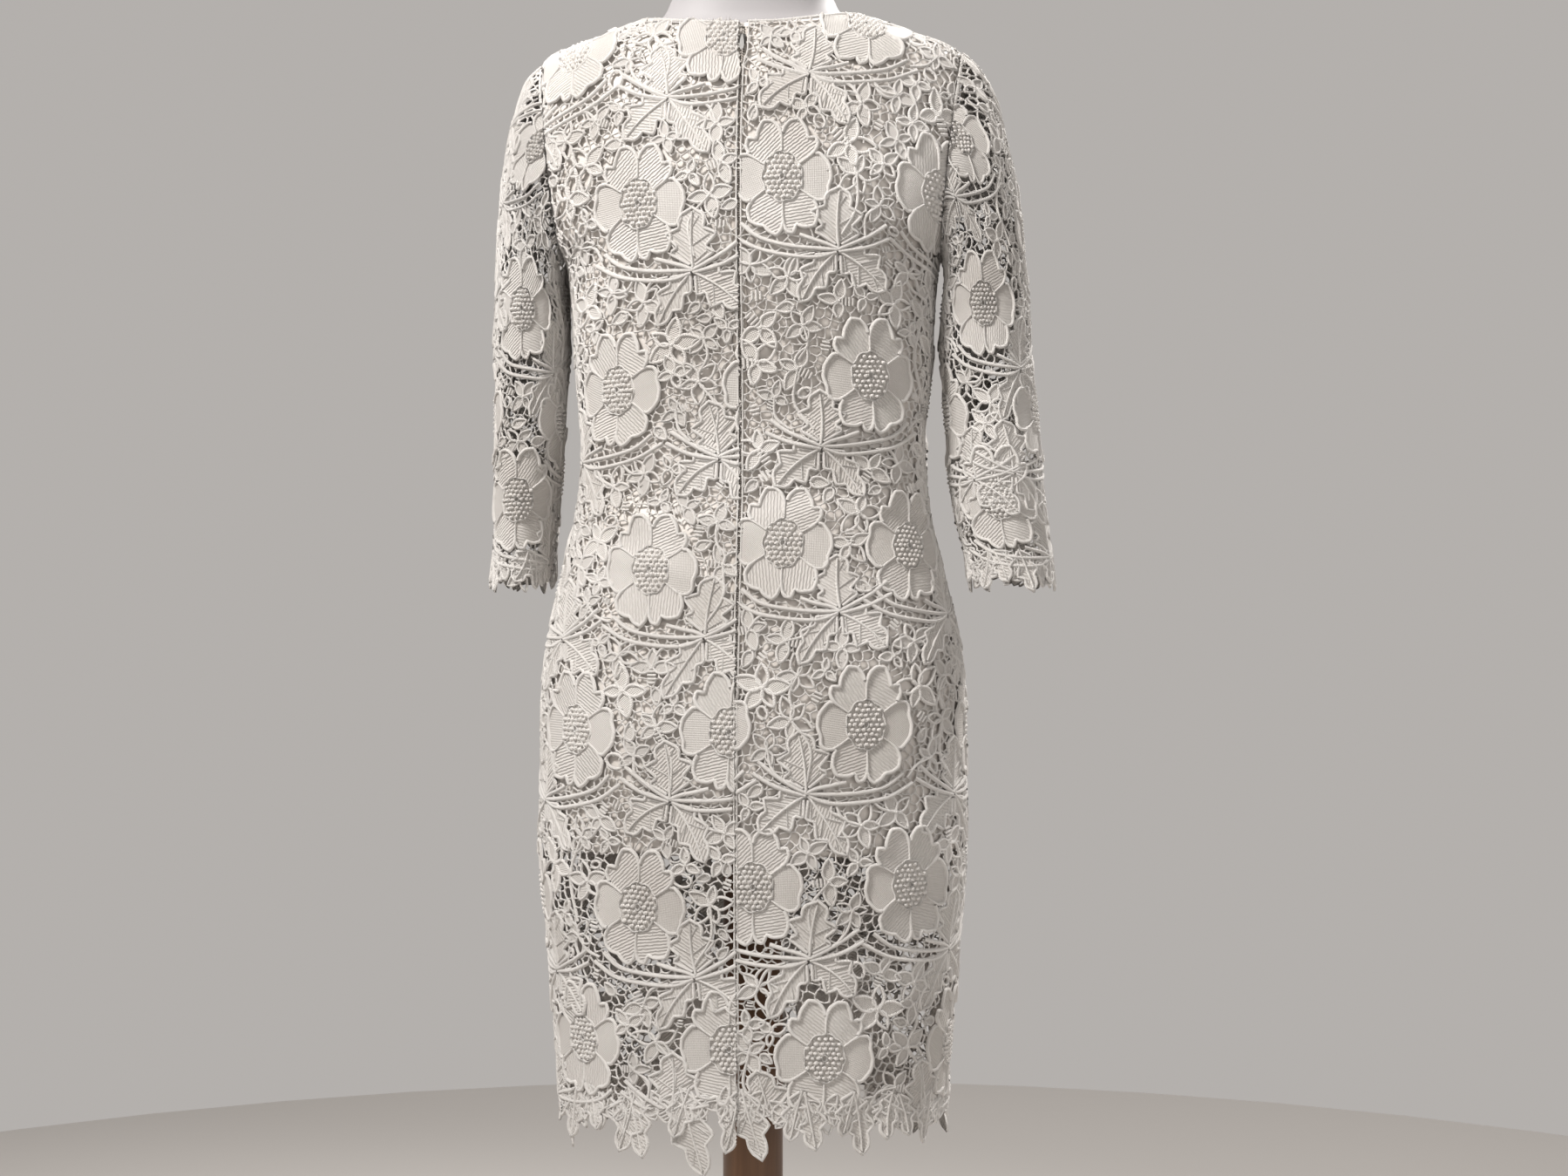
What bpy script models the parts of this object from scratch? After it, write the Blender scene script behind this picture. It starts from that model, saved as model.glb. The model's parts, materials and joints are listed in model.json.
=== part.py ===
"""A knee-length lace dress, back zipped, on a white limbless dress form with a turned wooden stand.

Metres, +Z up, the front faces -Y and the zip faces +Y. The origin is the middle of the stand's underside.
All the cloth is worked out from one skin: level rings round the body, looked up by lengths as on cloth.
"""

import math
from collections import namedtuple

import bmesh
import bpy
import numpy as np
from mathutils import Vector
from mathutils.geometry import delaunay_2d_cdt

MM = 0.001

# Layers, outwards from the skin, which is the inner face of the lining
LINING_IN, LINING_OUT = 0.0, 1.0 * MM
TAPE_IN, TAPE_OUT = 1.7 * MM, 2.5 * MM
LACE_IN, LACE_OUT = 3.8 * MM, 5.5 * MM
RELIEF = 1.7 * MM  # how far petals and leaves stand above the lace ground
FORM_IN = 2.2 * MM  # the form's surface lies this far inside the skin
SHOULDER_DROP = 2.6 * MM  # and this far below it on the shoulders
HALF_SEAM = 0.15 * MM  # half the gap between two panels
MOST_STRAY = 1.3 * MM  # how far a flat facet's edge may stray from the skin

# The body's level sections, measured over the lace ground, in millimetres
Section = namedtuple("Section", "z half_width back front")
BODY = [
    Section(450, 163.5, 108.5, 105),
    Section(505, 168, 112, 108),
    Section(552, 171.7, 114, 109),
    Section(643, 179.3, 118.5, 111),
    Section(703, 185, 121, 112),
    Section(741, 186, 122.5, 113),
    Section(800, 185.3, 124, 114),
    Section(855, 184.6, 122, 116),
    Section(885, 182.7, 119, 116),
    Section(916, 177.4, 113.5, 114),
    Section(946, 170.6, 107.5, 111.5),
    Section(976, 163.7, 101, 108.5),
    Section(1007, 155.8, 94.5, 104),
    Section(1037, 151.6, 90.5, 101),
    Section(1082, 150, 89.5, 101),
    Section(1128, 154.5, 92, 106),
    Section(1158, 156.8, 95, 112),
    Section(1211, 159.8, 100, 124),
    Section(1231, 162.4, 101.5, 127),
    Section(1260, 180, 103, 128.5),
    Section(1290, 190, 103, 123.5),
    Section(1330, 196, 99, 106),
    Section(1370, 196, 91, 86),
    Section(1395, 190, 80, 72.5),
    Section(1407, 180.4, 75.5, 66),
    Section(1420, 146, 70, 58),
    Section(1430, 119.6, 66, 52),
    Section(1440, 94, 62.5, 48),
    Section(1450, 84, 61.5, 49),
    Section(1461, 78.6, 61, 50),
    Section(1480, 69, 61, 52),
    Section(1500, 62, 61, 54),
    Section(1532, 60, 61, 55),
]
SQUARENESS = 2.25  # 2 is an ellipse

# Armhole: a nearly upright plane that trims the body and starts the sleeve
ARMPIT_X, ARMPIT_Z = 0.1635, 1.235
ARM_LEAN = 0.10

# Edges
HEM_Z, HEM_RISE_AT_BACK = 0.505, 0.017
LINING_HEM_Z = 0.730
NECK_BACK_Z, NECK_FRONT_Z, NECK_SIDE_Z = 1.4257, 1.352, 1.4398
ZIP_TOP_Z, ZIP_END_Z = 1.421, 0.860
ZIP_SLIT, SLIDER_SLIT = 0.8 * MM, 3.6 * MM  # half widths of the opening between the lace edges

# Soft creases of the cloth, which lift every layer together, in millimetres and degrees
Fold = namedtuple("Fold", "side x z turn half_length half_width height")
FOLDS = [
    Fold(1, 72, 968, 14, 62, 11, 3.0),
    Fold(1, 60, 1004, 8, 74, 12, 2.6),
    Fold(1, -66, 1014, -10, 66, 12, 2.8),
    Fold(1, -58, 1072, -18, 58, 16, 3.4),
    Fold(1, 78, 1066, 20, 52, 14, 2.2),
    Fold(1, 92, 585, 84, 70, 17, 3.2),
    Fold(1, -84, 600, 95, 74, 20, 3.0),
    Fold(-1, 64, 1022, 12, 66, 13, 2.6),
    Fold(-1, -70, 1050, -12, 60, 14, 2.8),
    Fold(-1, 70, 610, 88, 76, 20, 3.2),
    Fold(-1, -62, 590, 94, 66, 18, 2.8),
]

# The lace repeat: a six-petal flower, with the gaps, leaf and bud that go with it, in millimetres
FLOWER_HALF_WIDTH, FLOWER_HALF_HEIGHT = 40.0, 50.0
REPEAT_WIDTH = 134.0
Row = namedtuple("Row", "z_left left z_right right z_front front")
ROWS = [
    Row(1412, (15, 150), 1428, (104,), 1412, (67,)),
    Row(1271, (85,), 1289, (36, 170), 1280, (0, 134)),
    Row(1118, (-26, 108), 1128, (108,), 1122, (67, 200)),
    Row(964, (74, 208), 986, (36, 145), 975, (0, 134)),
    Row(832, (5, 143), 838, (-28, 106, 240), 835, (67, 200)),
    Row(687, (82, 216), 706, (14, 145), 697, (0, 134)),
    Row(572, (6, 139), 565, (71, 205), 568, (67, 200)),
]
GAPS_EACH = 5  # how many of a repeat's gaps are cut, the largest first
FRONT_GAPS, BACK_GAPS, SLEEVE_GAPS = 112, 56, 18  # the most for a panel
LACE_STEPS, PLAIN_STEPS = (0.030, 0.045), (0.032, 0.060)  # spacing of the plain points, round and up

# Sleeves, measured over the lace, in millimetres; x is outwards from the middle of the body
Cuff = namedtuple("Cuff", "z centre_x half_width centre_y half_depth")
LEFT_SLEEVE = [
    Cuff(1158, 194.9, 33.2, 0, 46),
    Cuff(1095, 197.5, 30.5, -3, 46),
    Cuff(1037, 200, 28.7, -6, 46),
    Cuff(976, 204, 27, -10, 46),
    Cuff(925, 207.5, 26.4, -12, 46),
]
RIGHT_SLEEVE = [
    Cuff(1158, 201.2, 39.6, 0, 43),
    Cuff(1095, 206.5, 40.5, -3, 42),
    Cuff(1037, 211, 41, -6, 41),
    Cuff(976, 221, 38, -9, 40),
    Cuff(925, 226, 36, -11, 40),
]
CUFF_Z = 0.965
SLEEVE_IN, SLEEVE_OUT = 0.0, 1.8 * MM
ROUND_LENGTH = 0.300  # the sleeve's pattern width, at its middle
# The sleeve's flowers: the share of the way round from the top over the back, and the height
SLEEVE_FLOWERS = [(0.25, 1.190), (0.04, 1.100), (0.46, 1.100), (0.25, 1.035), (0.75, 1.190), (0.75, 1.035)]

# Form, pole and base
FORM_FOOT_Z, FORM_TOP_Z = 0.800, 1.532
POLE_RADIUS = 0.026
BASE_RADIUS, BASE_THICKNESS = 0.190, 0.028
COLLAR_RADIUS, COLLAR_HEIGHT = 0.045, 0.022

# Zip slider and its pull tab
SLIDER_Z = 1.4085
SLIDER_WIDTH, SLIDER_HEIGHT = 5.4 * MM, 8.5 * MM
PULL_WIDTH, PULL_LENGTH, PULL_THICKNESS = 4.8 * MM, 15.5 * MM, 1.0 * MM
PULL_OUT = LACE_OUT + 0.9 * MM  # the tab's inner face, off the skin
SEAT = 0.3 * MM  # between metal pieces that touch


def curve_through(at, rows, column):
    """One column of a section table at the heights asked for, on a smooth curve that doesn't overshoot."""
    z = np.array([r.z for r in rows]) * MM
    v = np.array([getattr(r, column) for r in rows]) * MM
    order = np.argsort(z)
    z, v = z[order], v[order]
    slope = np.diff(v) / np.diff(z)
    tangent = np.concatenate([[slope[0]], np.zeros(len(slope) - 1), [slope[-1]]])
    same = slope[:-1] * slope[1:] > 0
    tangent[1:-1][same] = 2 * slope[:-1][same] * slope[1:][same] / (slope[:-1] + slope[1:])[same]
    at = np.clip(at, z[0], z[-1])
    i = np.clip(np.searchsorted(z, at) - 1, 0, len(slope) - 1)
    h = z[i + 1] - z[i]
    u = (at - z[i]) / h
    return (
        (2 * u**3 - 3 * u**2 + 1) * v[i]
        + (u**3 - 2 * u**2 + u) * h * tangent[i]
        + (3 * u**2 - 2 * u**3) * v[i + 1]
        + (u**3 - u**2) * h * tangent[i + 1]
    )


def arm_plane_x(z):
    return ARMPIT_X + ARM_LEAN * (z - ARMPIT_Z)


ARM_NORMAL = np.array([1, 0, -ARM_LEAN]) / math.hypot(1, ARM_LEAN)


def fold_height(side, x, z):
    """How far the creases lift the cloth at a place on the front or the back."""
    lift = np.zeros(np.broadcast(x, z).shape)
    for f in FOLDS:
        if f.side != side:
            continue
        turn = math.radians(f.turn)
        dx, dz = x - f.x * MM, z - f.z * MM
        along = dx * math.cos(turn) + dz * math.sin(turn)
        across = dz * math.cos(turn) - dx * math.sin(turn)
        spread_out = (along / (f.half_length * MM)) ** 2 + (across / (f.half_width * MM)) ** 2
        lift += f.height * MM * np.exp(-spread_out)
    return lift


class Skin:
    """The front or back of the body, by s, the length round from its centre line, and t, the length up."""

    STEP = 0.004

    def __init__(self, side):
        self.side = side
        self.z = np.concatenate([np.arange(0.450, 1.380, 0.004), np.arange(1.380, 1.475, 0.0016)])
        turn = np.linspace(0, math.pi, 721)
        power = 2 / SQUARENESS
        across = np.abs(np.sin(turn)) ** power
        ahead = np.sign(np.cos(turn)) * np.abs(np.cos(turn)) ** power
        near, far = ("back", "front") if side > 0 else ("front", "back")
        half_width = curve_through(self.z, BODY, "half_width") - LACE_OUT
        near = curve_through(self.z, BODY, near) - LACE_OUT
        far = curve_through(self.z, BODY, far) - LACE_OUT
        self.half_width = half_width
        self.s = np.arange(0, 0.345, self.STEP)
        grid = np.zeros((len(self.z), len(self.s), 3))
        self.side_s, self.arm_s = np.zeros(len(self.z)), np.full(len(self.z), np.nan)
        for k, z in enumerate(self.z):
            x = half_width[k] * across
            y = side * ahead * np.where(turn < math.pi / 2, near[k], far[k])
            length = np.concatenate([[0], np.cumsum(np.hypot(np.diff(x), np.diff(y)))])
            grid[k, :, 0] = np.interp(self.s, length, x)
            grid[k, :, 1] = np.interp(self.s, length, y)
            grid[k, :, 2] = z
            self.side_s[k] = length[360]
            if half_width[k] > arm_plane_x(z) and z > ARMPIT_Z - 0.03:
                self.arm_s[k] = np.interp(arm_plane_x(z), x[:361], length[:361])
        run = np.linalg.norm(np.diff(grid, axis=0), axis=2)
        self.up = np.vstack([np.zeros(len(self.s)), np.cumsum(run, axis=0)])
        self.t = np.arange(0, self.up[:, 0].max() + 0.05, self.STEP)
        self.points = np.zeros((len(self.t), len(self.s), 3))
        for j in range(len(self.s)):
            for axis in range(3):
                self.points[:, j, axis] = np.interp(self.t, self.up[:, j], grid[:, j, axis])
        along_t = np.gradient(self.points, axis=0)
        along_s = np.gradient(self.points, axis=1)
        normals = np.cross(along_t, along_s) * side
        self.normals = normals / np.maximum(np.linalg.norm(normals, axis=2, keepdims=True), 1e-12)

    def level(self, s, z):
        """t of the place at the length s round the ring at the height z."""
        j = np.clip(np.abs(s) / self.STEP, 0, len(self.s) - 1.001)
        i = j.astype(int) if isinstance(j, np.ndarray) else int(j)
        k = np.interp(z, self.z, np.arange(len(self.z)))
        m = np.minimum(k.astype(int) if isinstance(k, np.ndarray) else int(k), len(self.z) - 2)
        a = self.up[m, i] + (self.up[m + 1, i] - self.up[m, i]) * (k - m)
        b = self.up[m, i + 1] + (self.up[m + 1, i + 1] - self.up[m, i + 1]) * (k - m)
        return a + (b - a) * (j - i)

    def side_at(self, z):
        return np.interp(z, self.z, self.side_s)

    def look_up(self, grid, s, t):
        j = np.clip(np.abs(s) / self.STEP, 0, len(self.s) - 1.001)
        k = np.clip(t / self.STEP, 0, len(self.t) - 1.001)
        i, m = j.astype(int), k.astype(int)
        u, v = (j - i)[:, None], (k - m)[:, None]
        low = grid[m, i] * (1 - u) + grid[m, i + 1] * u
        high = grid[m + 1, i] * (1 - u) + grid[m + 1, i + 1] * u
        return low * (1 - v) + high * v

    def place(self, st, out, hand, kind=None, arm_shift=0.0):
        """Points moved out from the skin. hand is 1 or -1 for a left or right panel, 0 where s has a sign."""
        s, t = st[:, 0], st[:, 1]
        p, n = self.look_up(self.points, s, t), self.look_up(self.normals, s, t)
        n /= np.linalg.norm(n, axis=1, keepdims=True)
        mirror = np.where(s < 0, -1.0, 1.0) if hand == 0 else np.full(len(s), float(hand))
        lift = fold_height(self.side, p[:, 0] * mirror, p[:, 2])
        away = np.array(n)
        out = np.array(out) + lift
        if kind is not None:
            arm = (kind == ARM) | (kind == CORNER)
            flat = n[arm] - np.outer(n[arm] @ ARM_NORMAL, ARM_NORMAL)
            away[arm] = flat / (np.linalg.norm(flat, axis=1, keepdims=True) ** 2)
            p[arm] += ARM_NORMAL * arm_shift
            seam = (kind == SIDE) | (kind == CORNER)
            away[seam, 1] = 0
        p += away * np.reshape(out, (-1, 1))
        if kind is not None:
            p[seam, 1] = self.side * HALF_SEAM
            p = kept_beyond(p, -1)
        p[:, 0] *= mirror
        return p


def kept_beyond(p, way):
    """Pulls points near the armhole back to their own side of its plane: way is 1 outside, -1 inside."""
    past = (p - (ARMPIT_X, 0, ARMPIT_Z)) @ ARM_NORMAL * way
    move = np.where((p[:, 2] > ARMPIT_Z - 0.03) & (past < HALF_SEAM), HALF_SEAM - past, 0)
    return p + np.outer(move * way, ARM_NORMAL)


FREE, ARM, SIDE, CENTRE, CORNER = 0, 1, 2, 3, 4
BACK, FRONT = Skin(1), Skin(-1)


def arm_run(skin):
    """The armhole's edge on one skin, from the armpit up to the shoulder, as s and z."""
    rows = np.flatnonzero(~np.isnan(skin.arm_s))
    z, s = skin.z[rows], skin.arm_s[rows]
    reach = skin.half_width[rows] - arm_plane_x(z)
    low, high = rows[0], rows[-1]
    gap = skin.half_width - arm_plane_x(skin.z)
    z0 = skin.z[low - 1] + (skin.z[low] - skin.z[low - 1]) * (-gap[low - 1]) / (gap[low] - gap[low - 1])
    z1 = skin.z[high] + (skin.z[high + 1] - skin.z[high]) * gap[high] / (gap[high] - gap[high + 1])
    keep = reach > 0.0004
    z = np.concatenate([[z0], z[keep], [z1]])
    s = np.concatenate([[skin.side_at(z0)], s[keep], [skin.side_at(z1)]])
    return s, z


def spread(s, t, count):
    """count points at even spacing along a line, both ends included."""
    length = np.concatenate([[0], np.cumsum(np.hypot(np.diff(s), np.diff(t)))])
    at = np.linspace(0, length[-1], count)
    return np.interp(at, length, s), np.interp(at, length, t)


def scallops(start, end, count, depth, points=4):
    """A leafy edge: how far round, and how far below the edge line, for count rounded leaves."""
    at, drop = [], []
    for i in range(count):
        width = (end - start) / count
        share = 1.0 if i % 3 == 1 else 0.72 if i % 3 == 0 else 0.84
        for j in range(points):
            u = j / points
            at.append(start + width * (i + u))
            drop.append(depth * share * math.sin(math.pi * u) ** 0.8 if j else 0.0)
    return np.array(at), np.array(drop)


def half_outline(skin, hem_z, centre, leaves=0, leaf_depth=0.0, step=0.028):
    """One half panel's edge as (s, t) with a kind for each point, from the hem's centre end to the neck.

    centre gives the half width of the opening at the centre line for a height.
    """
    st, kind = [], []

    def add(s, t, what):
        st.extend(np.column_stack([s, t]).tolist())
        kind.extend([what] * len(s))

    side_hem = skin.side_at(hem_z)
    start = centre(np.array([hem_z]))[0]
    rise = HEM_RISE_AT_BACK if skin.side > 0 and leaves else 0.0
    if leaves:
        s, drop = scallops(start, side_hem, leaves, leaf_depth)
    else:
        s = np.linspace(start, side_hem, 12)[:-1]
        drop = np.zeros(len(s))
    z = hem_z + rise * np.cos(np.clip(s / side_hem, 0, 1) * math.pi / 2) - drop
    add(s, skin.level(s, z), FREE)
    kind[0] = CENTRE
    arm_s, arm_z = arm_run(skin)
    z = np.linspace(hem_z, arm_z[0], max(3, int((arm_z[0] - hem_z) / step)))
    s = skin.side_at(z)
    add(s, skin.level(s, z), SIDE)
    kind[-1] = CORNER
    s, t = spread(arm_s, skin.level(arm_s, arm_z), 15)
    add(s[1:-1], t[1:-1], ARM)
    z = np.linspace(arm_z[-1], NECK_SIDE_Z, 5)
    s = skin.side_at(z)
    corner = len(kind)
    add(s, skin.level(s, z), SIDE)
    kind[corner] = CORNER
    neck_z = NECK_BACK_Z if skin.side > 0 else NECK_FRONT_Z
    u = np.linspace(1, 0, 9)
    s_end = skin.side_at(NECK_SIDE_Z)
    curve = 1 - np.cos(u * math.pi / 2) if skin.side < 0 else u**2
    z = neck_z + (NECK_SIDE_Z - neck_z) * curve
    s = s_end * np.sin(u * math.pi / 2) if skin.side < 0 else s_end * u
    start = centre(np.array([neck_z]))[0]
    s = np.maximum(s, start)
    add(s[1:], skin.level(s[1:], z[1:]), FREE)
    kind[-1] = CENTRE
    return np.array(st), np.array(kind)


def inside(points, loop):
    """Which points lie in a closed outline."""
    x, y = points[:, 0][:, None], points[:, 1][:, None]
    x0, y0 = loop[:, 0], loop[:, 1]
    x1, y1 = np.roll(x0, -1), np.roll(y0, -1)
    level = np.where(y1 == y0, 1e-12, y1 - y0)
    crossed = ((y0 > y) != (y1 > y)) & (x < (x1 - x0) * (y - y0) / level + x0)
    return crossed.sum(axis=1) % 2 == 1


def edge_distance(points, loop):
    """How far each point is from the nearest edge of a closed outline."""
    a, b = loop, np.roll(loop, -1, axis=0)
    d = b - a
    u = ((points[:, None] - a) * d).sum(2) / np.maximum((d * d).sum(1), 1e-15)
    nearest = a + np.clip(u, 0, 1)[:, :, None] * d
    return np.linalg.norm(points[:, None] - nearest, axis=2).min(axis=1)


def ray(turn, share):
    """A place in the flower's oval, in metres from its middle."""
    turn = math.radians(turn)
    return (
        FLOWER_HALF_WIDTH * share * math.cos(turn) * MM,
        FLOWER_HALF_HEIGHT * share * math.sin(turn) * MM,
    )


def repeat_parts():
    """The repeat's points as (x, y, height) and its gaps, largest first, as corner lists."""
    points = [(0, 0, 0.55)]
    for k in range(6):
        points.append((*ray(60 * k, 0.58), 1.0))
        points.append((*ray(60 * k, 1.0), 0.25))
    half = REPEAT_WIDTH / 2
    leaf = [(0, 0, 1.0)]
    bud = [(0, 0, 0.9)]
    points += [((half + x) * MM, (40 + y) * MM, h) for x, y, h in leaf]
    points += [((half + x) * MM, (-38 + y) * MM, h) for x, y, h in bud]
    gaps = []
    for turn in (30, 150, 210, 330, 90, 270):
        gaps.append([ray(turn, 0.87), ray(turn + 11, 1.03), ray(turn, 1.2), ray(turn - 11, 1.03)])
    between = [(0, -9), (6.5, -2), (4, 7), (-4, 7), (-6.5, -2)]
    gaps.insert(2, [((half + x) * MM, y * MM) for x, y in between])
    return points, gaps


REPEAT_POINTS, REPEAT_GAPS = repeat_parts()


def lace_pattern(loop, middles, most, share=1.0):
    """The repeats that fall in an outline: raised points (s, t, height) and gap corner lists."""
    gaps, points = [], []
    for g in REPEAT_GAPS[:GAPS_EACH]:
        for s, t in middles:
            corners = np.array(g) * share + (s, t)
            if len(gaps) == most or not inside(corners, loop).all():
                continue
            apart = [np.hypot(*(np.mean(other, 0) - corners.mean(0))) for other in gaps]
            if edge_distance(corners, loop).min() > 5 * MM and min(apart, default=1) > 22 * MM:
                gaps.append(corners)
    for s, t in middles:
        points += [(s + x * share, t + y * share, h) for x, y, h in REPEAT_POINTS]
    return np.array(points), gaps


def thin_out(points, fixed, apart):
    """Drops points nearer than a distance to the fixed ones or to each other."""
    kept = list(map(tuple, fixed[:, :2]))
    chosen = []
    for p in points:
        near = np.array(kept)
        if np.hypot(near[:, 0] - p[0], near[:, 1] - p[1]).min() > apart:
            kept.append((p[0], p[1]))
            chosen.append(p)
    return np.array(chosen).reshape(-1, 3)


def triangulate(loop, gaps, points, steps, clear=None, fine_above=9.9, near_edge=(), margin=8 * MM):
    """Triangles over an outline with gaps left open: the places, their heights and the corner numbers.

    steps are the spacing round and up: the cloth bends most on its way round, so triangles are tall.
    """
    holes = [np.array(g) for g in gaps]
    fixed = np.vstack([loop] + holes) if holes else loop
    if len(points):
        keep = inside(points[:, :2], loop) & (edge_distance(points[:, :2], loop) > 0.7 * margin)
        points = points[keep]
        for hole in holes:
            points = points[~inside(points[:, :2], hole)]
        points = thin_out(points, fixed, 4.5 * MM)
    low, high = loop.min(axis=0), loop.max(axis=0)
    across, rise = steps
    levels = list(np.arange(low[1] + rise, min(high[1], fine_above), rise))
    levels += list(np.arange(max(fine_above, low[1]), high[1], 0.9 * across))
    ground = [
        (low[0] + across * (i + 0.5 * (j % 2)), level, 0.0)
        for j, level in enumerate(levels)
        for i in range(int((high[0] - low[0]) / across) + 1)
    ]
    ground = np.array(ground)
    ground = ground[inside(ground[:, :2], loop) & (edge_distance(ground[:, :2], loop) > margin)]
    known = np.vstack([fixed, points[:, :2]]) if len(points) else fixed
    ground = thin_out(ground, known, 0.62 * across)
    if clear is not None:
        ground = ground[clear(ground)]
        points = points[clear(points)] if len(points) else points
    if len(near_edge):
        beside = thin_out(near_edge, fixed, 3 * MM)
        ground = np.vstack([beside, thin_out(ground, beside, 9 * MM)])
        points = thin_out(points, beside, 5 * MM) if len(points) else points
    every = [np.column_stack([fixed, np.zeros(len(fixed))])]
    every += [p for p in (points, ground) if len(p)]
    every = np.vstack(every)
    edges, start = [], 0
    for ring in [loop] + holes:
        n = len(ring)
        edges += [(start + i, start + (i + 1) % n) for i in range(n)]
        start += n
    squash = across / rise
    below = np.minimum(every[:, 1], fine_above)
    flat = [Vector(p) for p in np.column_stack([every[:, 0], squash * below + every[:, 1] - below])]
    places, _, faces, origin, _, _ = delaunay_2d_cdt(flat, edges, [], 0, 1e-7)
    places = np.array([tuple(p) for p in places])
    below = np.minimum(places[:, 1], squash * fine_above)
    places[:, 1] = below / squash + places[:, 1] - below
    number = np.array([o[0] if o else -1 for o in origin])
    height = np.where(number >= 0, every[number, 2], 0.0)
    faces = np.array([tuple(f) for f in faces])
    middle = places[faces].mean(axis=1)
    kept = inside(middle, loop)
    for hole in holes:
        kept &= ~inside(middle, hole)
    return places, height, faces[kept], number


def add_object(name, look, points, faces):
    """A closed mesh object from points and faces, its normals facing out."""
    material, collection = look
    bm = bmesh.new()
    corners = [bm.verts.new(p) for p in points]
    for face in faces:
        bm.faces.new([corners[i] for i in face])
    bmesh.ops.recalc_face_normals(bm, faces=bm.faces[:])
    if bm.calc_volume(signed=True) < 0:
        bmesh.ops.reverse_faces(bm, faces=bm.faces[:])
    mesh = bpy.data.meshes.new(name)
    bm.to_mesh(mesh)
    bm.free()
    mesh.materials.append(material)
    obj = bpy.data.objects.new(name, mesh)
    collection.objects.link(obj)
    return obj


def wall_faces(outer, inner, tri):
    """A wall's mesh: the outer and inner layers and a rim along every open edge."""
    used, tri = np.unique(tri, return_inverse=True)
    tri = tri.reshape(-1, 3)
    points = np.vstack([outer[used], inner[used]])
    count = len(used)
    faces = [tuple(f) for f in tri] + [tuple(count + i for i in f[::-1]) for f in tri]
    seen = {}
    for f in tri:
        for a, b in ((f[0], f[1]), (f[1], f[2]), (f[2], f[0])):
            seen[(int(a), int(b))] = True
    for a, b in seen:
        if (b, a) not in seen:
            faces.append((b, a, count + a))
            faces.append((b, count + a, count + b))
    return points, faces


def too_flat(skin, places, tri, loop, gaps):
    """Middles of the edges that stray too far from the skin, as points to add."""
    ends = np.unique(np.sort(np.vstack([tri[:, [0, 1]], tri[:, [1, 2]], tri[:, [2, 0]]]), axis=1), axis=0)
    a, b = places[ends[:, 0]], places[ends[:, 1]]
    middle = (a + b) / 2
    p = []
    for q in (a, b, middle):
        mirror = np.where(q[:, :1] < 0, (-1, 1, 1), (1, 1, 1))
        p.append(skin.look_up(skin.points, q[:, 0], q[:, 1]) * mirror)
    stray = np.linalg.norm(p[2] - (p[0] + p[1]) / 2, axis=1)
    order = np.argsort(-stray)
    order = order[stray[order] > MOST_STRAY]
    found = middle[order]
    clear = edge_distance(found, loop) > 5 * MM if len(found) else np.zeros(0, bool)
    for gap in gaps:
        if len(found):
            clear &= edge_distance(found, np.array(gap)) > 3 * MM
    found = found[clear]
    return thin_out(np.column_stack([found, np.zeros(len(found))]), places, 4 * MM) if len(found) else found


def beside_armhole(loop, kind, away=13 * MM):
    """Points of the ground a little inside the armhole's edge, the same ones in each layer."""
    found = []
    for i in np.flatnonzero((kind == ARM) | (kind == CORNER)):
        run = loop[(i + 1) % len(loop)] - loop[i - 1]
        way = np.array([run[1], -run[0]]) / np.hypot(*run)
        for sign in (1, -1):
            at = loop[i] + way * sign * away
            if inside(at[None], loop)[0] and edge_distance(at[None], loop)[0] > 0.75 * away:
                found.append((at[0], at[1], 0.0))
    return np.array(found).reshape(-1, 3)


def body_wall(name, look, skin, hand, edge, layers, gaps=(), points=(), steps=PLAIN_STEPS):
    """A panel of the body: its cut shape laid on the skin between two layers.

    look is its material and collection, edge the outline with the kind of each of its points.
    """
    loop, kind = edge
    points = np.array(points).reshape(-1, 3)

    def clear_of_armhole(at):
        p = skin.look_up(skin.points, at[:, 0], at[:, 1])
        return ((arm_plane_x(p[:, 2]) - p[:, 0]) > 8 * MM) | (p[:, 2] < ARMPIT_Z - 0.012)

    fine_above = skin.level(np.array([0.06]), np.array([1.335]))[0]
    beside = beside_armhole(loop, kind)
    for _ in range(6):
        places, height, tri, number = triangulate(
            loop, gaps, points, steps, clear=clear_of_armhole, fine_above=fine_above, near_edge=beside
        )
        more = too_flat(skin, places, tri, loop, gaps)
        if not len(more):
            break
        beside = np.vstack([beside, more])
    what = np.array([kind[n] if 0 <= n < len(kind) else FREE for n in number])
    low, high = layers
    shift = -HALF_SEAM
    inner = skin.place(places, np.full(len(places), low), hand, what, shift)
    outer = skin.place(places, high + RELIEF * height, hand, what, shift)
    if hand:
        for p in (inner, outer):
            at = what == CENTRE
            p[at, 0] = hand * places[at, 0]
    return add_object(name, look, *wall_faces(outer, inner, tri))


def mirrored(loop, kind):
    """A whole panel's edge from its half: the same points on both sides of the centre line."""
    other = loop[::-1] * (-1, 1)
    return np.vstack([loop, other[:-1]]), np.concatenate([kind, kind[::-1][:-1]])


def centre_edge(half_width):
    """The points up a back panel's centre edge, between its neck and hem ends, top first."""
    z = np.array([1.4120, 1.3980, 1.3840, 1.3560])
    z = np.concatenate([z, np.arange(1.328, HEM_Z + 0.03, -0.028)])
    return half_width(z), z


def slit(z):
    """Half the opening between the lace edges: wide for the slider, narrow along the zip, then a seam."""
    wide = np.clip((z - 1.386) / 0.010, 0, 1)
    along = np.where(z > ZIP_END_Z, ZIP_SLIT, HALF_SEAM)
    return along + (SLIDER_SLIT - along) * wide


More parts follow.
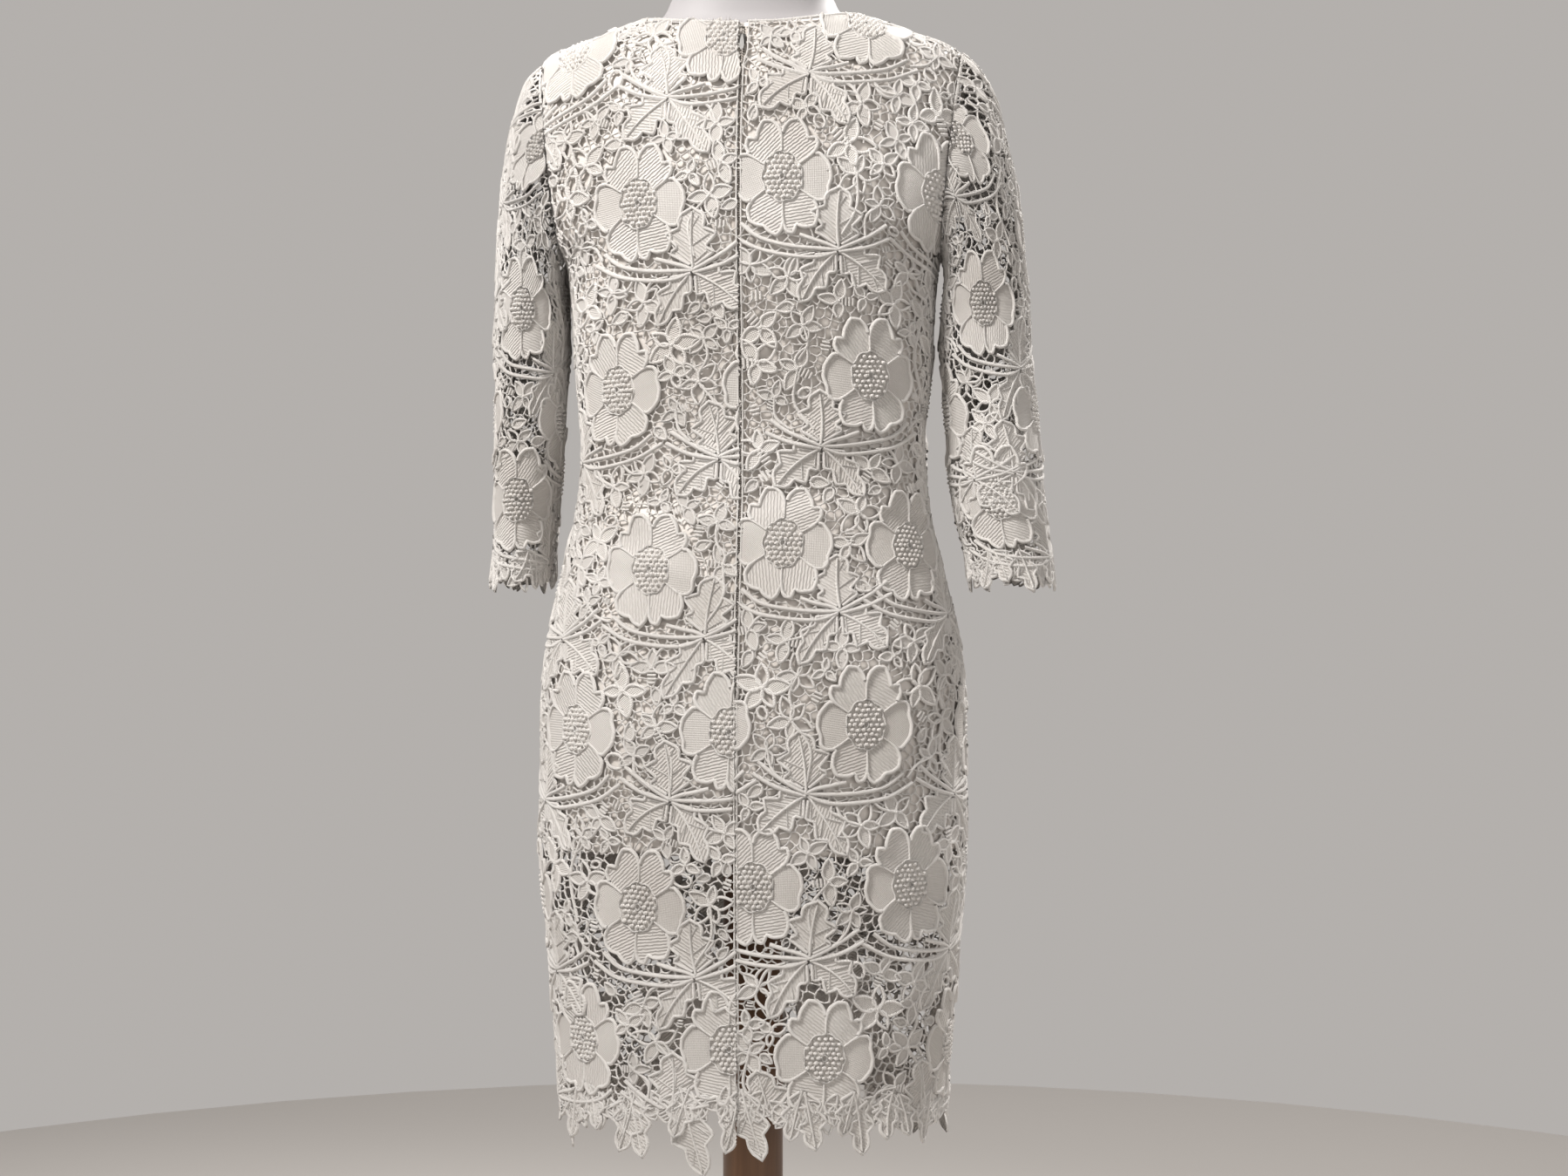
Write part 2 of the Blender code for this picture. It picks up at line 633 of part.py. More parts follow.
def back_outline(hem_z, half_width, leaves, leaf_depth):
    """A back panel's whole edge, from half_outline and the centre edge."""
    loop, kind = half_outline(BACK, hem_z, half_width, leaves, leaf_depth)
    s, z = centre_edge(half_width)
    keep = z > hem_z + 0.03
    s, z = s[keep], z[keep]
    edge = np.column_stack([s, BACK.level(s, z)])
    return np.vstack([loop, edge]), np.concatenate([kind, np.full(len(s), CENTRE)])


def middles_of(skin, column_z, column_s, both_sides=False):
    """Where the flowers sit on a panel, as (s, t)."""
    found = []
    for row in ROWS:
        z, across = getattr(row, column_z) * MM, getattr(row, column_s)
        for s in across:
            t = float(skin.level(np.array([0.03]), np.array([z]))[0])
            found.append((s * MM, t))
            if both_sides and s:
                found.append((-s * MM, t))
    return found


def seam_ready(loop, kind):
    """Drops points that fall on their neighbour, as where two stretches of an edge meet."""
    keep = np.hypot(*(loop - np.roll(loop, 1, axis=0)).T) > 0.4 * MM
    return loop[keep], kind[keep]


def plain_seam(z):
    return np.full(len(z), HALF_SEAM)


def no_seam(z):
    return np.zeros(len(z))


def front_outline(hem_z, leaves, leaf_depth):
    """The front panel's whole edge, cut in one across its centre line."""
    loop, kind = half_outline(FRONT, hem_z, no_seam, leaves, leaf_depth)
    return seam_ready(*mirrored(loop[kind != CENTRE], kind[kind != CENTRE]))


def make_body_cloth(collection, lining, lace, tape):
    """The lining, the zip's tape and the lace of the body."""
    layers = (LINING_IN, LINING_OUT)
    look = (lining, collection)
    body_wall("lining_front", look, FRONT, 0, front_outline(LINING_HEM_Z, 0, 0.0), layers)
    for hand, word in ((1, "left"), (-1, "right")):
        edge = seam_ready(*back_outline(LINING_HEM_Z, plain_seam, 0, 0.0))
        body_wall(f"lining_back_{word}", look, BACK, hand, edge, layers)
    z = np.concatenate([[ZIP_END_Z], centre_edge(plain_seam)[1][::-1], [ZIP_TOP_Z]])
    z = z[(z >= ZIP_END_Z) & (z <= ZIP_TOP_Z)]
    edge = np.full(len(z), 6 * MM)
    t = BACK.level(edge, z)
    loop = np.vstack([np.column_stack([edge, t]), np.column_stack([-edge, t])[::-1]])
    edge = (loop, np.full(len(loop), FREE))
    body_wall("zip_tape", (tape, collection), BACK, 0, edge, (TAPE_IN, TAPE_OUT))

    layers = (LACE_IN, LACE_OUT)
    look = (lace, collection)
    edge = front_outline(HEM_Z, 8, 0.030)
    points, gaps = lace_pattern(edge[0], middles_of(FRONT, "z_front", "front", True), FRONT_GAPS)
    body_wall("lace_front", look, FRONT, 0, edge, layers, gaps, points, LACE_STEPS)
    for hand, word in ((1, "left"), (-1, "right")):
        edge = seam_ready(*back_outline(HEM_Z, slit, 7, 0.032))
        points, gaps = lace_pattern(edge[0], middles_of(BACK, f"z_{word}", word), BACK_GAPS)
        body_wall(f"lace_back_{word}", look, BACK, hand, edge, layers, gaps, points, LACE_STEPS)


class Sleeve:
    """One sleeve's base surface by u, the share of the way round from the top over the back, and v, down."""

    ROUND, DOWN = 96, 60

    def __init__(self, table):
        u = np.arange(self.ROUND + 1) / self.ROUND
        start, in_plane = self.armhole(u)
        turn = 2 * math.pi * u

        def ring(z):
            size = {c: curve_through(z, table, c) for c in Cuff._fields[1:]}
            x = size["centre_x"] + (size["half_width"] - SLEEVE_OUT) * np.cos(turn)
            y = size["centre_y"] + (size["half_depth"] - SLEEVE_OUT) * np.sin(turn)
            return np.column_stack([x, y, np.full(len(turn), z)])

        top = table[0].z * MM
        end = ring(top)
        height = (1 + np.cos(turn)) / 2
        chord = np.linalg.norm(end - start, axis=1)
        leave = np.column_stack([0.30 + 0.16 * height, 0 * turn, -0.62 + 0.42 * height]) * chord[:, None]
        leave[:, 1] = 0.10 * np.sin(turn) * chord
        arrive = np.column_stack([0.02 * turn, 0 * turn, -1.15 * np.ones(len(turn))]) * chord[:, None]
        arrive[:, 0] = 0.04 * height * chord
        rows = []
        for h in np.linspace(0, 1, 31)[:-1]:
            rows.append(
                (2 * h**3 - 3 * h**2 + 1) * start
                + (h**3 - 2 * h**2 + h) * leave
                + (3 * h**2 - 2 * h**3) * end
                + (h**3 - h**2) * arrive
            )
        rows += [ring(z) for z in np.linspace(top, table[-1].z * MM, 31)]
        grid = np.array(rows)
        run = np.linalg.norm(np.diff(grid, axis=0), axis=2)
        self.length = np.vstack([np.zeros(grid.shape[1]), np.cumsum(run, axis=0)])
        self.grid = grid
        around = np.gradient(np.concatenate([grid[:, -2:-1], grid, grid[:, 1:2]], axis=1), axis=1)[:, 1:-1]
        down = np.gradient(grid, axis=0)
        normals = np.cross(down, around)
        self.normals = normals / np.maximum(np.linalg.norm(normals, axis=2, keepdims=True), 1e-12)
        self.in_plane = in_plane

    @staticmethod
    def armhole(u):
        """Points on the armhole's plane that carry on the body's lace, and their way out in that plane."""
        lines, ways = [], []
        for skin in (BACK, FRONT):
            s, z = arm_run(skin)
            st = np.column_stack(spread(s, skin.level(s, z), 61))
            kind = np.full(len(st), ARM)
            base = skin.place(st, np.full(len(st), LACE_IN), 1, kind, HALF_SEAM)
            over = skin.place(st, np.full(len(st), LACE_OUT), 1, kind, HALF_SEAM)
            lines.append(base[::-1] if skin is BACK else base)
            ways.append((over - base)[::-1] if skin is BACK else over - base)
        line = np.vstack([lines[0], lines[1][1:]])
        way = np.vstack([ways[0], ways[1][1:]])
        half = len(lines[0]) - 1
        share = np.concatenate([np.linspace(0, 0.5, half + 1), np.linspace(0.5, 1, len(lines[1]))[1:]])
        at = np.column_stack([np.interp(u, share, line[:, i]) for i in range(3)])
        out = np.column_stack([np.interp(u, share, way[:, i]) for i in range(3)])
        return at, out / (LACE_OUT - LACE_IN)

    def row_of(self, u, length):
        """The grid row at a length down from the armhole."""
        j = np.clip(u * self.ROUND, 0, self.ROUND - 0.001)
        i = j.astype(int)
        f = j - i
        table = self.length
        found = np.empty(len(u))
        for n in range(len(u)):
            column = table[:, i[n]] * (1 - f[n]) + table[:, i[n] + 1] * f[n]
            found[n] = np.interp(length[n], column, np.arange(len(column)))
        return found

    def length_at(self, u, z):
        """How far down the cloth the height z is, for places below the sleeve's head."""
        column = np.array([np.interp(u, np.arange(self.ROUND + 1) / self.ROUND, row) for row in self.length])
        heights = np.array([np.interp(u, np.arange(self.ROUND + 1) / self.ROUND, r[:, 2]) for r in self.grid])
        return float(np.interp(-z, -heights[30:], column[30:]))

    def place(self, u, length, out, hand, aside):
        row = self.row_of(u, length)
        j = np.clip(u * self.ROUND, 0, self.ROUND - 0.001)
        i, m = j.astype(int), np.clip(row, 0, len(self.grid) - 1.001).astype(int)
        a, b = (j - i)[:, None], (row - m)[:, None]

        def mix(grid):
            top = grid[m, i] * (1 - a) + grid[m, i + 1] * a
            low = grid[m + 1, i] * (1 - a) + grid[m + 1, i + 1] * a
            return top * (1 - b) + low * b

        p, n = mix(self.grid), mix(self.normals)
        n /= np.linalg.norm(n, axis=1, keepdims=True)
        at_top = length < 0.5 * MM
        edge = self.in_plane[i] * (1 - a) + self.in_plane[i + 1] * a
        n[at_top] = edge[at_top]
        p += n * np.reshape(out, (-1, 1))
        p = kept_beyond(p + aside, 1)
        p[:, 0] *= hand
        return p


def sleeve_half(name, look, sleeve, hand, back):
    """The front or back half of a sleeve, between its top line and its underarm line."""
    u0, u1 = (0.0, 0.5) if back else (0.5, 1.0)
    count = 5
    at, drop = scallops(u0 * ROUND_LENGTH, u1 * ROUND_LENGTH, count, 0.030, 4)
    bottom = [sleeve.length_at(s / ROUND_LENGTH, CUFF_Z - d) for s, d in zip(at, drop)]
    low_end = sleeve.length_at(u1 if u1 < 1 else 0.0, CUFF_Z)
    side = np.linspace(low_end, 0, max(6, int(low_end / 0.03)))
    top = np.linspace(u1, u0, 13)[1:-1] * ROUND_LENGTH
    first = np.linspace(0, bottom[0], max(6, int(bottom[0] / 0.03)))[:-1]
    loop = np.vstack(
        [
            np.column_stack([at, bottom]),
            np.column_stack([np.full(len(side), u1 * ROUND_LENGTH), side]),
            np.column_stack([top, np.zeros(len(top))]),
            np.column_stack([np.full(len(first), u0 * ROUND_LENGTH), first]),
        ]
    )
    middles = []
    for u, z in SLEEVE_FLOWERS:
        if u0 - 0.12 < u < u1 + 0.12:
            middles.append((u * ROUND_LENGTH, sleeve.length_at(min(max(u, 0), 1), z)))
    points, gaps = lace_pattern(loop, middles, SLEEVE_GAPS, share=0.92)
    places, height, tri, number = triangulate(loop, gaps, points, LACE_STEPS)
    u = places[:, 0] / ROUND_LENGTH
    edge = np.where(np.abs(u - u0) < 1e-5, 1.0, 0.0) - np.where(np.abs(u - u1) < 1e-5, 1.0, 0.0)
    way = sleeve.place(np.clip(u + 0.004, 0, 1), places[:, 1], 0, 1, 0) - sleeve.place(
        np.clip(u - 0.004, 0, 1), places[:, 1], 0, 1, 0
    )
    way /= np.maximum(np.linalg.norm(way, axis=1, keepdims=True), 1e-9)
    aside = way * (edge * HALF_SEAM)[:, None]
    facing_body = (np.abs(u - 0.5) < 0.16) & (places[:, 1] < 0.25)
    height = np.where(facing_body, 0, height)
    inner = sleeve.place(u, places[:, 1], SLEEVE_IN, hand, aside)
    outer = sleeve.place(u, places[:, 1], SLEEVE_OUT + RELIEF * height, hand, aside)
    return add_object(name, look, *wall_faces(outer, inner, tri))


def make_sleeves(collection, lace):
    for hand, word, table in ((1, "left", LEFT_SLEEVE), (-1, "right", RIGHT_SLEEVE)):
        sleeve = Sleeve(table)
        for back, part in ((True, "back"), (False, "front")):
            sleeve_half(f"sleeve_{word}_{part}", (lace, collection), sleeve, hand, back)


def form_ring(z, count, shrink=1.0):
    """One level ring of the form, inside the skin, and lower than it where the shoulders are nearly level."""
    inset = LACE_OUT + FORM_IN
    above = np.array([z + SHOULDER_DROP * min(1, max(0, (z - 1.36) / 0.03))])
    half_width = (curve_through(above, BODY, "half_width")[0] - inset) * shrink
    back = (curve_through(above, BODY, "back")[0] - inset) * shrink
    front = (curve_through(above, BODY, "front")[0] - inset) * shrink
    power = 2 / SQUARENESS
    ring = []
    for k in range(count):
        turn = 2 * math.pi * k / count
        c, s = math.cos(turn), math.sin(turn)
        x = half_width * math.copysign(abs(c) ** power, c)
        y = (back if s > 0 else front) * math.copysign(abs(s) ** power, s)
        ring.append((x, y, z))
    return ring


def make_form(collection, material):
    """The torso: level rings from the hips to a rounded neck top, trimmed flat at both arms."""
    around = 28
    heights = list(np.linspace(FORM_FOOT_Z, 1.20, 12)) + [1.218, 1.236, 1.258, 1.31, 1.35, 1.38]
    heights += [1.398, 1.408, 1.418, 1.428, 1.438, 1.446, 1.456, 1.475, 1.505]
    rings = [form_ring(z, around) for z in heights]
    dome = FORM_TOP_Z - 0.012
    for lift in (0.0, 0.5, 0.86):
        rings.append(form_ring(dome + 0.012 * lift, around, 1 - 0.2 * (1 - math.sqrt(1 - lift**2))))
    bm = bmesh.new()
    loops = [[bm.verts.new(p) for p in ring] for ring in rings]
    for low, high in zip(loops, loops[1:]):
        for k in range(around):
            n = (k + 1) % around
            bm.faces.new((low[k], low[n], high[n], high[k]))
    bm.faces.new(loops[0][::-1])
    peak = bm.verts.new((0, 0.003, FORM_TOP_Z))
    for k in range(around):
        bm.faces.new((loops[-1][k], loops[-1][(k + 1) % around], peak))
    for hand in (1, -1):
        normal = Vector(ARM_NORMAL)
        normal.x *= hand
        point = Vector((hand * (ARMPIT_X - 2.0 * MM), 0, ARMPIT_Z))
        middles = [(f, f.calc_center_median()) for f in bm.faces]
        above = [f for f, at in middles if at.z > 1.19 and at.x * hand > 0.1]
        geometry = set(above)
        for f in above:
            geometry.update(f.verts)
            geometry.update(f.edges)
        bmesh.ops.bisect_plane(bm, geom=list(geometry), plane_co=point, plane_no=normal, clear_outer=True)
        open_edges = [e for e in bm.edges if e.is_boundary]
        bmesh.ops.holes_fill(bm, edges=open_edges, sides=0)
    bmesh.ops.recalc_face_normals(bm, faces=bm.faces[:])
    mesh = bpy.data.meshes.new("form_torso")
    bm.to_mesh(mesh)
    bm.free()
    mesh.materials.append(material)
    mesh.shade_smooth()
    mesh.set_sharp_from_angle(angle=math.radians(40))
    collection.objects.link(bpy.data.objects.new("form_torso", mesh))


def turned(name, material, collection, profile, steps=36):
    """A solid of revolution about Z from its profile of (radius, height), listed from the top axis down."""
    mesh = bpy.data.meshes.new(name)
    bm = bmesh.new()
    points = [bm.verts.new((r, 0, z)) for r, z in profile]
    for a, b in zip(points, points[1:]):
        bm.edges.new((a, b))
    bm.to_mesh(mesh)
    bm.free()
    mesh.materials.append(material)
    obj = bpy.data.objects.new(name, mesh)
    collection.objects.link(obj)
    screw = obj.modifiers.new("Turn", "SCREW")
    screw.steps = screw.render_steps = steps
    screw.use_merge_vertices = True
    screw.merge_threshold = 1e-5
    return obj


def make_stand(collection, wood):
    """The pole and its round base with a low collar."""
    top = BASE_THICKNESS + COLLAR_HEIGHT
    base = [
        (0, top),
        (COLLAR_RADIUS - 0.004, top),
        (COLLAR_RADIUS, top - 0.005),
        (COLLAR_RADIUS + 0.006, BASE_THICKNESS),
        (BASE_RADIUS - 0.010, BASE_THICKNESS - 0.003),
        (BASE_RADIUS - 0.002, BASE_THICKNESS - 0.010),
        (BASE_RADIUS, 0.010),
        (BASE_RADIUS - 0.003, 0.0),
        (0, 0),
    ]
    turned("stand_base", wood, collection, base, 36)
    low, high = top + 0.3 * MM, FORM_FOOT_Z - 0.3 * MM
    pole = [(0, high), (POLE_RADIUS, high), (POLE_RADIUS, low), (0, low)]
    turned("stand_pole", wood, collection, pole, 24)


def make_zip_metal(collection, nickel, steel):
    """The slider on the tape, and the pull tab that hangs from its ring and lies along the cloth."""
    at = np.array([[0.0, BACK.level(np.array([0.0]), np.array([SLIDER_Z]))[0]]])
    foot = BACK.place(at, np.array([TAPE_OUT + SEAT]), 0)[0]
    over = BACK.place(at, np.array([TAPE_OUT + SEAT + 1 * MM]), 0)[0]
    out = Vector((over - foot).tolist()).normalized()
    lean = math.atan2(out.z, out.y)

    def block(name, material, size, corner, middle):
        bpy.ops.mesh.primitive_cube_add(size=1)
        obj = bpy.context.object
        obj.name = obj.data.name = name
        for c in list(obj.users_collection):
            c.objects.unlink(obj)
        collection.objects.link(obj)
        for v in obj.data.vertices:
            v.co = Vector((v.co.x * size[0], v.co.y * size[1], v.co.z * size[2]))
        obj.data.materials.append(material)
        obj.location = middle
        obj.rotation_euler = (lean, 0, 0)
        bevel = obj.modifiers.new("Round", "BEVEL")
        bevel.width, bevel.segments = corner, 1
        return obj

    depth = PULL_OUT - TAPE_OUT - 2 * SEAT
    middle = Vector(foot.tolist()) + out * (depth / 2)
    block("zip_slider", nickel, (SLIDER_WIDTH, depth, SLIDER_HEIGHT), 0.7 * MM, middle)

    down = Vector((0, out.z, -out.y))
    hinge = Vector(foot.tolist()) + out * (depth + SEAT + PULL_THICKNESS / 2) - down * 2.0 * MM
    bm = bmesh.new()
    steps = 18
    outline = []
    for k in range(steps):
        turn = 2 * math.pi * k / steps
        share = (1 - math.cos(turn)) / 2
        along = share * PULL_LENGTH - PULL_THICKNESS / 2
        width = PULL_WIDTH / 2 * (0.45 + 0.62 * share)
        outline.append((math.sin(turn) * width, along))
    layers = []
    for side in (-0.5, 0.5):
        depth = side * PULL_THICKNESS
        layers.append([bm.verts.new(Vector((x, 0, 0)) + down * a + out * depth) for x, a in outline])
    bm.faces.new(layers[0])
    bm.faces.new(layers[1][::-1])
    for k in range(steps):
        n = (k + 1) % steps
        bm.faces.new((layers[0][k], layers[1][k], layers[1][n], layers[0][n]))
    bmesh.ops.recalc_face_normals(bm, faces=bm.faces[:])
    mesh = bpy.data.meshes.new("zip_pull")
    bm.to_mesh(mesh)
    bm.free()
    mesh.materials.append(steel)
    obj = bpy.data.objects.new("zip_pull", mesh)
    obj.location = hinge
    collection.objects.link(obj)


def make_material(name, colour, roughness, metallic=0.0):
    material = bpy.data.materials.new(name)
    material.use_nodes = True
    shader = material.node_tree.nodes["Principled BSDF"]
    shader.inputs["Base Color"].default_value = (*colour, 1)
    shader.inputs["Roughness"].default_value = roughness
    shader.inputs["Metallic"].default_value = metallic
    material.diffuse_color = (*colour, 1)
    return material


def main():
    for obj in list(bpy.data.objects):
        bpy.data.objects.remove(obj, do_unlink=True)
    collection = bpy.data.collections.new("lace_dress_on_form")
    bpy.context.scene.collection.children.link(collection)
    lace = make_material("ivory_lace", (0.78, 0.74, 0.68), 0.85)
    lining = make_material("ivory_lining", (0.74, 0.70, 0.65), 0.55)
    tape = make_material("zip_tape", (0.42, 0.38, 0.34), 0.7)
    white = make_material("white_form", (0.80, 0.79, 0.78), 0.5)
    wood = make_material("dark_walnut", (0.055, 0.024, 0.011), 0.4)
    nickel = make_material("dark_nickel", (0.16, 0.15, 0.14), 0.35, 1.0)
    steel = make_material("bright_steel", (0.75, 0.74, 0.72), 0.25, 1.0)
    make_form(collection, white)
    make_stand(collection, wood)
    make_body_cloth(collection, lining, lace, tape)
    make_sleeves(collection, lace)
    make_zip_metal(collection, nickel, steel)


main()
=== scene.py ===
"""Looks of the lace dress on its dress form.

The lace is drawn on flat panels in millimetres, as flowers, leaves, blossoms, stems and a net of fine bars,
and each panel is then laid on the same skin of level rings that gives the dress its cut.
"""

import json
import math
from collections import namedtuple

import bmesh
import bpy
import numpy as np
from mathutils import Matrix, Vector
from mathutils.geometry import delaunay_2d_cdt

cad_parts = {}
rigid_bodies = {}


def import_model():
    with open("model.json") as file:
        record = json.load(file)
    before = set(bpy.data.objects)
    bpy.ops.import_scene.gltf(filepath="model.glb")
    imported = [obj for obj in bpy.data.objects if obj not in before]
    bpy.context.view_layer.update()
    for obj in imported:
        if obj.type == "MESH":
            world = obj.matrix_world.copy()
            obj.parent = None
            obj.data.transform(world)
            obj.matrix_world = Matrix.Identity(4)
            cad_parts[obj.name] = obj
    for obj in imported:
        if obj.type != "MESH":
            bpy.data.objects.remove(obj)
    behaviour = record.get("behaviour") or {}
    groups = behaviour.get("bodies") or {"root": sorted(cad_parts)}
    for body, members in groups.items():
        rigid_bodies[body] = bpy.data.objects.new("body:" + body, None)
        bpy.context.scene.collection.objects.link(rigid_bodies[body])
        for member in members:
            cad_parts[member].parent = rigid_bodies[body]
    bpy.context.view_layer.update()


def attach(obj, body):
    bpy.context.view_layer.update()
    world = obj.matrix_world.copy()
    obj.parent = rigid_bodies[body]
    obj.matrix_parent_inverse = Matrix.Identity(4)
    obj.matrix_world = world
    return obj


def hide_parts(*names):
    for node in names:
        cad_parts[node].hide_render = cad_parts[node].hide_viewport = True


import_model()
BODY_NAME = "dress"

MM = 0.001
TAU = 2 * math.pi

# Layers, outwards from the skin, which is the inner face of the lining
LINING_AT = 0.5 * MM
TAPE_AT = 2.1 * MM
LACE_IN, LACE_OUT = 3.8 * MM, 5.5 * MM
FORM_IN = 2.2 * MM
CLOTH_THICKNESS = 0.5 * MM
SHOULDER_DROP = 2.6 * MM
HALF_SEAM = 0.15 * MM

# The body's level sections, measured over the lace ground, in millimetres
Section = namedtuple("Section", "z half_width back front")
BODY = [
    Section(450, 163.5, 108.5, 105),
    Section(505, 168, 112, 108),
    Section(552, 171.7, 114, 109),
    Section(643, 179.3, 118.5, 111),
    Section(703, 185, 121, 112),
    Section(741, 186, 122.5, 113),
    Section(800, 185.3, 124, 114),
    Section(855, 184.6, 122, 116),
    Section(885, 182.7, 119, 116),
    Section(916, 177.4, 113.5, 114),
    Section(946, 170.6, 107.5, 111.5),
    Section(976, 163.7, 101, 108.5),
    Section(1007, 155.8, 94.5, 104),
    Section(1037, 151.6, 90.5, 101),
    Section(1082, 150, 89.5, 101),
    Section(1128, 154.5, 92, 106),
    Section(1158, 156.8, 95, 112),
    Section(1211, 159.8, 100, 124),
    Section(1231, 162.4, 101.5, 127),
    Section(1260, 180, 103, 128.5),
    Section(1290, 190, 103, 123.5),
    Section(1330, 196, 99, 106),
    Section(1370, 196, 91, 86),
    Section(1395, 190, 80, 72.5),
    Section(1407, 180.4, 75.5, 66),
    Section(1420, 146, 70, 58),
    Section(1430, 119.6, 66, 52),
    Section(1440, 94, 62.5, 48),
    Section(1450, 84, 61.5, 49),
    Section(1461, 78.6, 61, 50),
    Section(1480, 69, 61, 52),
    Section(1500, 62, 61, 54),
    Section(1532, 60, 61, 55),
]
SQUARENESS = 2.25

# Armhole: a nearly upright plane that trims the body and starts the sleeve
ARMPIT_X, ARMPIT_Z = 0.1635, 1.235
ARM_LEAN = 0.10
NEAR_ARMPIT = 0.03  # how far below the armpit the plane still counts

# Edges
HEM_Z, HEM_RISE_AT_BACK = 0.505, 0.017
LOOSE_UP_TO, FLARED_UP_TO = 0.200, 0.045  # over the hem, where the lace hangs more loosely and in a wave
LINING_HEM_Z, HEM_TURNED_UP = 0.730, 0.016
NECK_BACK_Z, NECK_FRONT_Z, NECK_SIDE_Z = 1.4257, 1.352, 1.4398
ZIP_TOP_Z, ZIP_END_Z = 1.421, 0.860
ZIP_SLIT, SLIDER_SLIT = 0.8 * MM, 3.6 * MM
TAPE_WIDTH, COIL_PITCH = 12 * MM, 1.4 * MM

# Soft creases of the cloth, which lift every layer together, in millimetres and degrees
Fold = namedtuple("Fold", "side x z turn half_length half_width height")
FOLDS = [
    Fold(1, 72, 968, 14, 62, 11, 3.0),
    Fold(1, 60, 1004, 8, 74, 12, 2.6),
    Fold(1, -66, 1014, -10, 66, 12, 2.8),
    Fold(1, -58, 1072, -18, 58, 16, 3.4),
    Fold(1, 78, 1066, 20, 52, 14, 2.2),
    Fold(1, 92, 585, 84, 70, 17, 3.2),
    Fold(1, -84, 600, 95, 74, 20, 3.0),
    Fold(-1, 64, 1022, 12, 66, 13, 2.6),
    Fold(-1, -70, 1050, -12, 60, 14, 2.8),
    Fold(-1, 70, 610, 88, 76, 20, 3.2),
    Fold(-1, -62, 590, 94, 66, 18, 2.8),
]

# Where the flowers sit: heights, and lengths round from the centre line
FLOWER_HALF_WIDTH, FLOWER_HALF_HEIGHT = 40.0, 50.0
Row = namedtuple("Row", "z_left left z_right right z_front front")
ROWS = [
    Row(1412, (15, 150), 1428, (104,), 1412, (67,)),
    Row(1271, (85,), 1289, (36, 170), 1280, (0, 134)),
    Row(1118, (-26, 108), 1128, (108,), 1122, (67, 200)),
    Row(964, (74, 208), 986, (36, 145), 975, (0, 134)),
    Row(832, (5, 143), 838, (-28, 106, 240), 835, (67, 200)),
    Row(687, (82, 216), 706, (14, 145), 697, (0, 134)),
    Row(572, (6, 139), 565, (71, 205), 568, (67, 200)),
]

# Sleeves, measured over the lace, in millimetres; x is outwards from the middle of the body
Cuff = namedtuple("Cuff", "z centre_x half_width centre_y half_depth")
LEFT_SLEEVE = [
    Cuff(1158, 194.9, 33.2, 0, 46),
    Cuff(1095, 197.5, 30.5, -3, 46),
    Cuff(1037, 200, 28.7, -6, 46),
    Cuff(976, 204, 27, -10, 46),
    Cuff(925, 207.5, 26.4, -12, 46),
]
RIGHT_SLEEVE = [
    Cuff(1158, 201.2, 39.6, 0, 43),
    Cuff(1095, 206.5, 40.5, -3, 42),
    Cuff(1037, 211, 41, -6, 41),
    Cuff(976, 221, 38, -9, 40),
    Cuff(925, 226, 36, -11, 40),
]
CUFF_Z = 0.965
SLEEVE_OUT = 1.8 * MM
TOP_OF_HEAD = 0.16  # how high the sleeve's head is over the upper-arm line, about
ARMHOLE_BEND = 0.010  # the length over which the sleeve's head turns out of the armhole's plane
ROUND_LENGTH = 300.0  # the width of the sleeve's flat pattern
# Its flowers: the share of the way round, which goes from the top over the back, the height over the
# upper-arm line, and 1 or -1 where the leaves grow to one side or the other. Those that lie above the
# sleeve's head fall off the pattern.
SLEEVE_FLOWERS = [
    (0.25, 32, 1), (0.03, -56, -1), (0.47, -60, 1), (0.25, -132, 1), (-0.25, 30, 1), (-0.22, -128, 1),
    (0.0, 96, 1), (-0.48, 40, -1), (0.22, 176, -1), (-0.24, 170, -1), (-0.02, 246, 1), (-0.46, -110, -1),
]

# Form and stand
FORM_FOOT_Z, FORM_TOP_Z, DOME_HEIGHT = 0.800, 1.532, 0.012
POLE_RADIUS = 0.026
BASE_RADIUS, BASE_THICKNESS = 0.190, 0.028
COLLAR_RADIUS, COLLAR_HEIGHT = 0.045, 0.022
AXIS_RADIUS = 0.001  # where a turned profile starts and ends, so that its end faces are whole

# Studio: the lamps stand behind the photo's camera, and the same ones at the front of the dress
WALL_COLOUR = (0.80, 0.762, 0.73, 1)
FLOOR_RADIUS = 2.4
Lamp = namedtuple("Lamp", "name x y z size power")
LAMPS = [Lamp("key", 1.35, 1.55, 3.1, 0.6, 22.5), Lamp("fill", -2.4, 2.4, 1.6, 2.2, 4)]
LAMPS_AIM = (0, 0, 1.25)
CAMERA_AT, CAMERA_LOOKS = (-0.2327, 1.956, 0.95), (0.1045, -0.9945, 0.0)

# What each thread coordinate's third number says to the lace's material
PLAIN, RIBBED, CORDED = 0.0, 1.0, 2.0


def unit(v):
    """Vectors at a length of one, along the last axis."""
    return v / np.maximum(np.linalg.norm(v, axis=-1, keepdims=True), 1e-12)


def length_along(line):
    """How far along a line each of its points is."""
    return np.concatenate([[0], np.cumsum(np.linalg.norm(np.diff(line, axis=0), axis=1))])


def to_the_left(line):
    """Unit vectors to the left of an open line's points."""
    ahead = unit(np.gradient(line, axis=0))
    return np.column_stack([-ahead[:, 1], ahead[:, 0]])


def strip(line, half_width):
    """The outline of a strip along an open line."""
    aside = to_the_left(line) * half_width
    return np.vstack([line + aside, (line - aside)[::-1]])


def area_of(loop):
    """The area in a closed outline."""
    x, y = loop.T
    return float(0.5 * abs(np.dot(x, np.roll(y, 1)) - np.dot(y, np.roll(x, 1))))


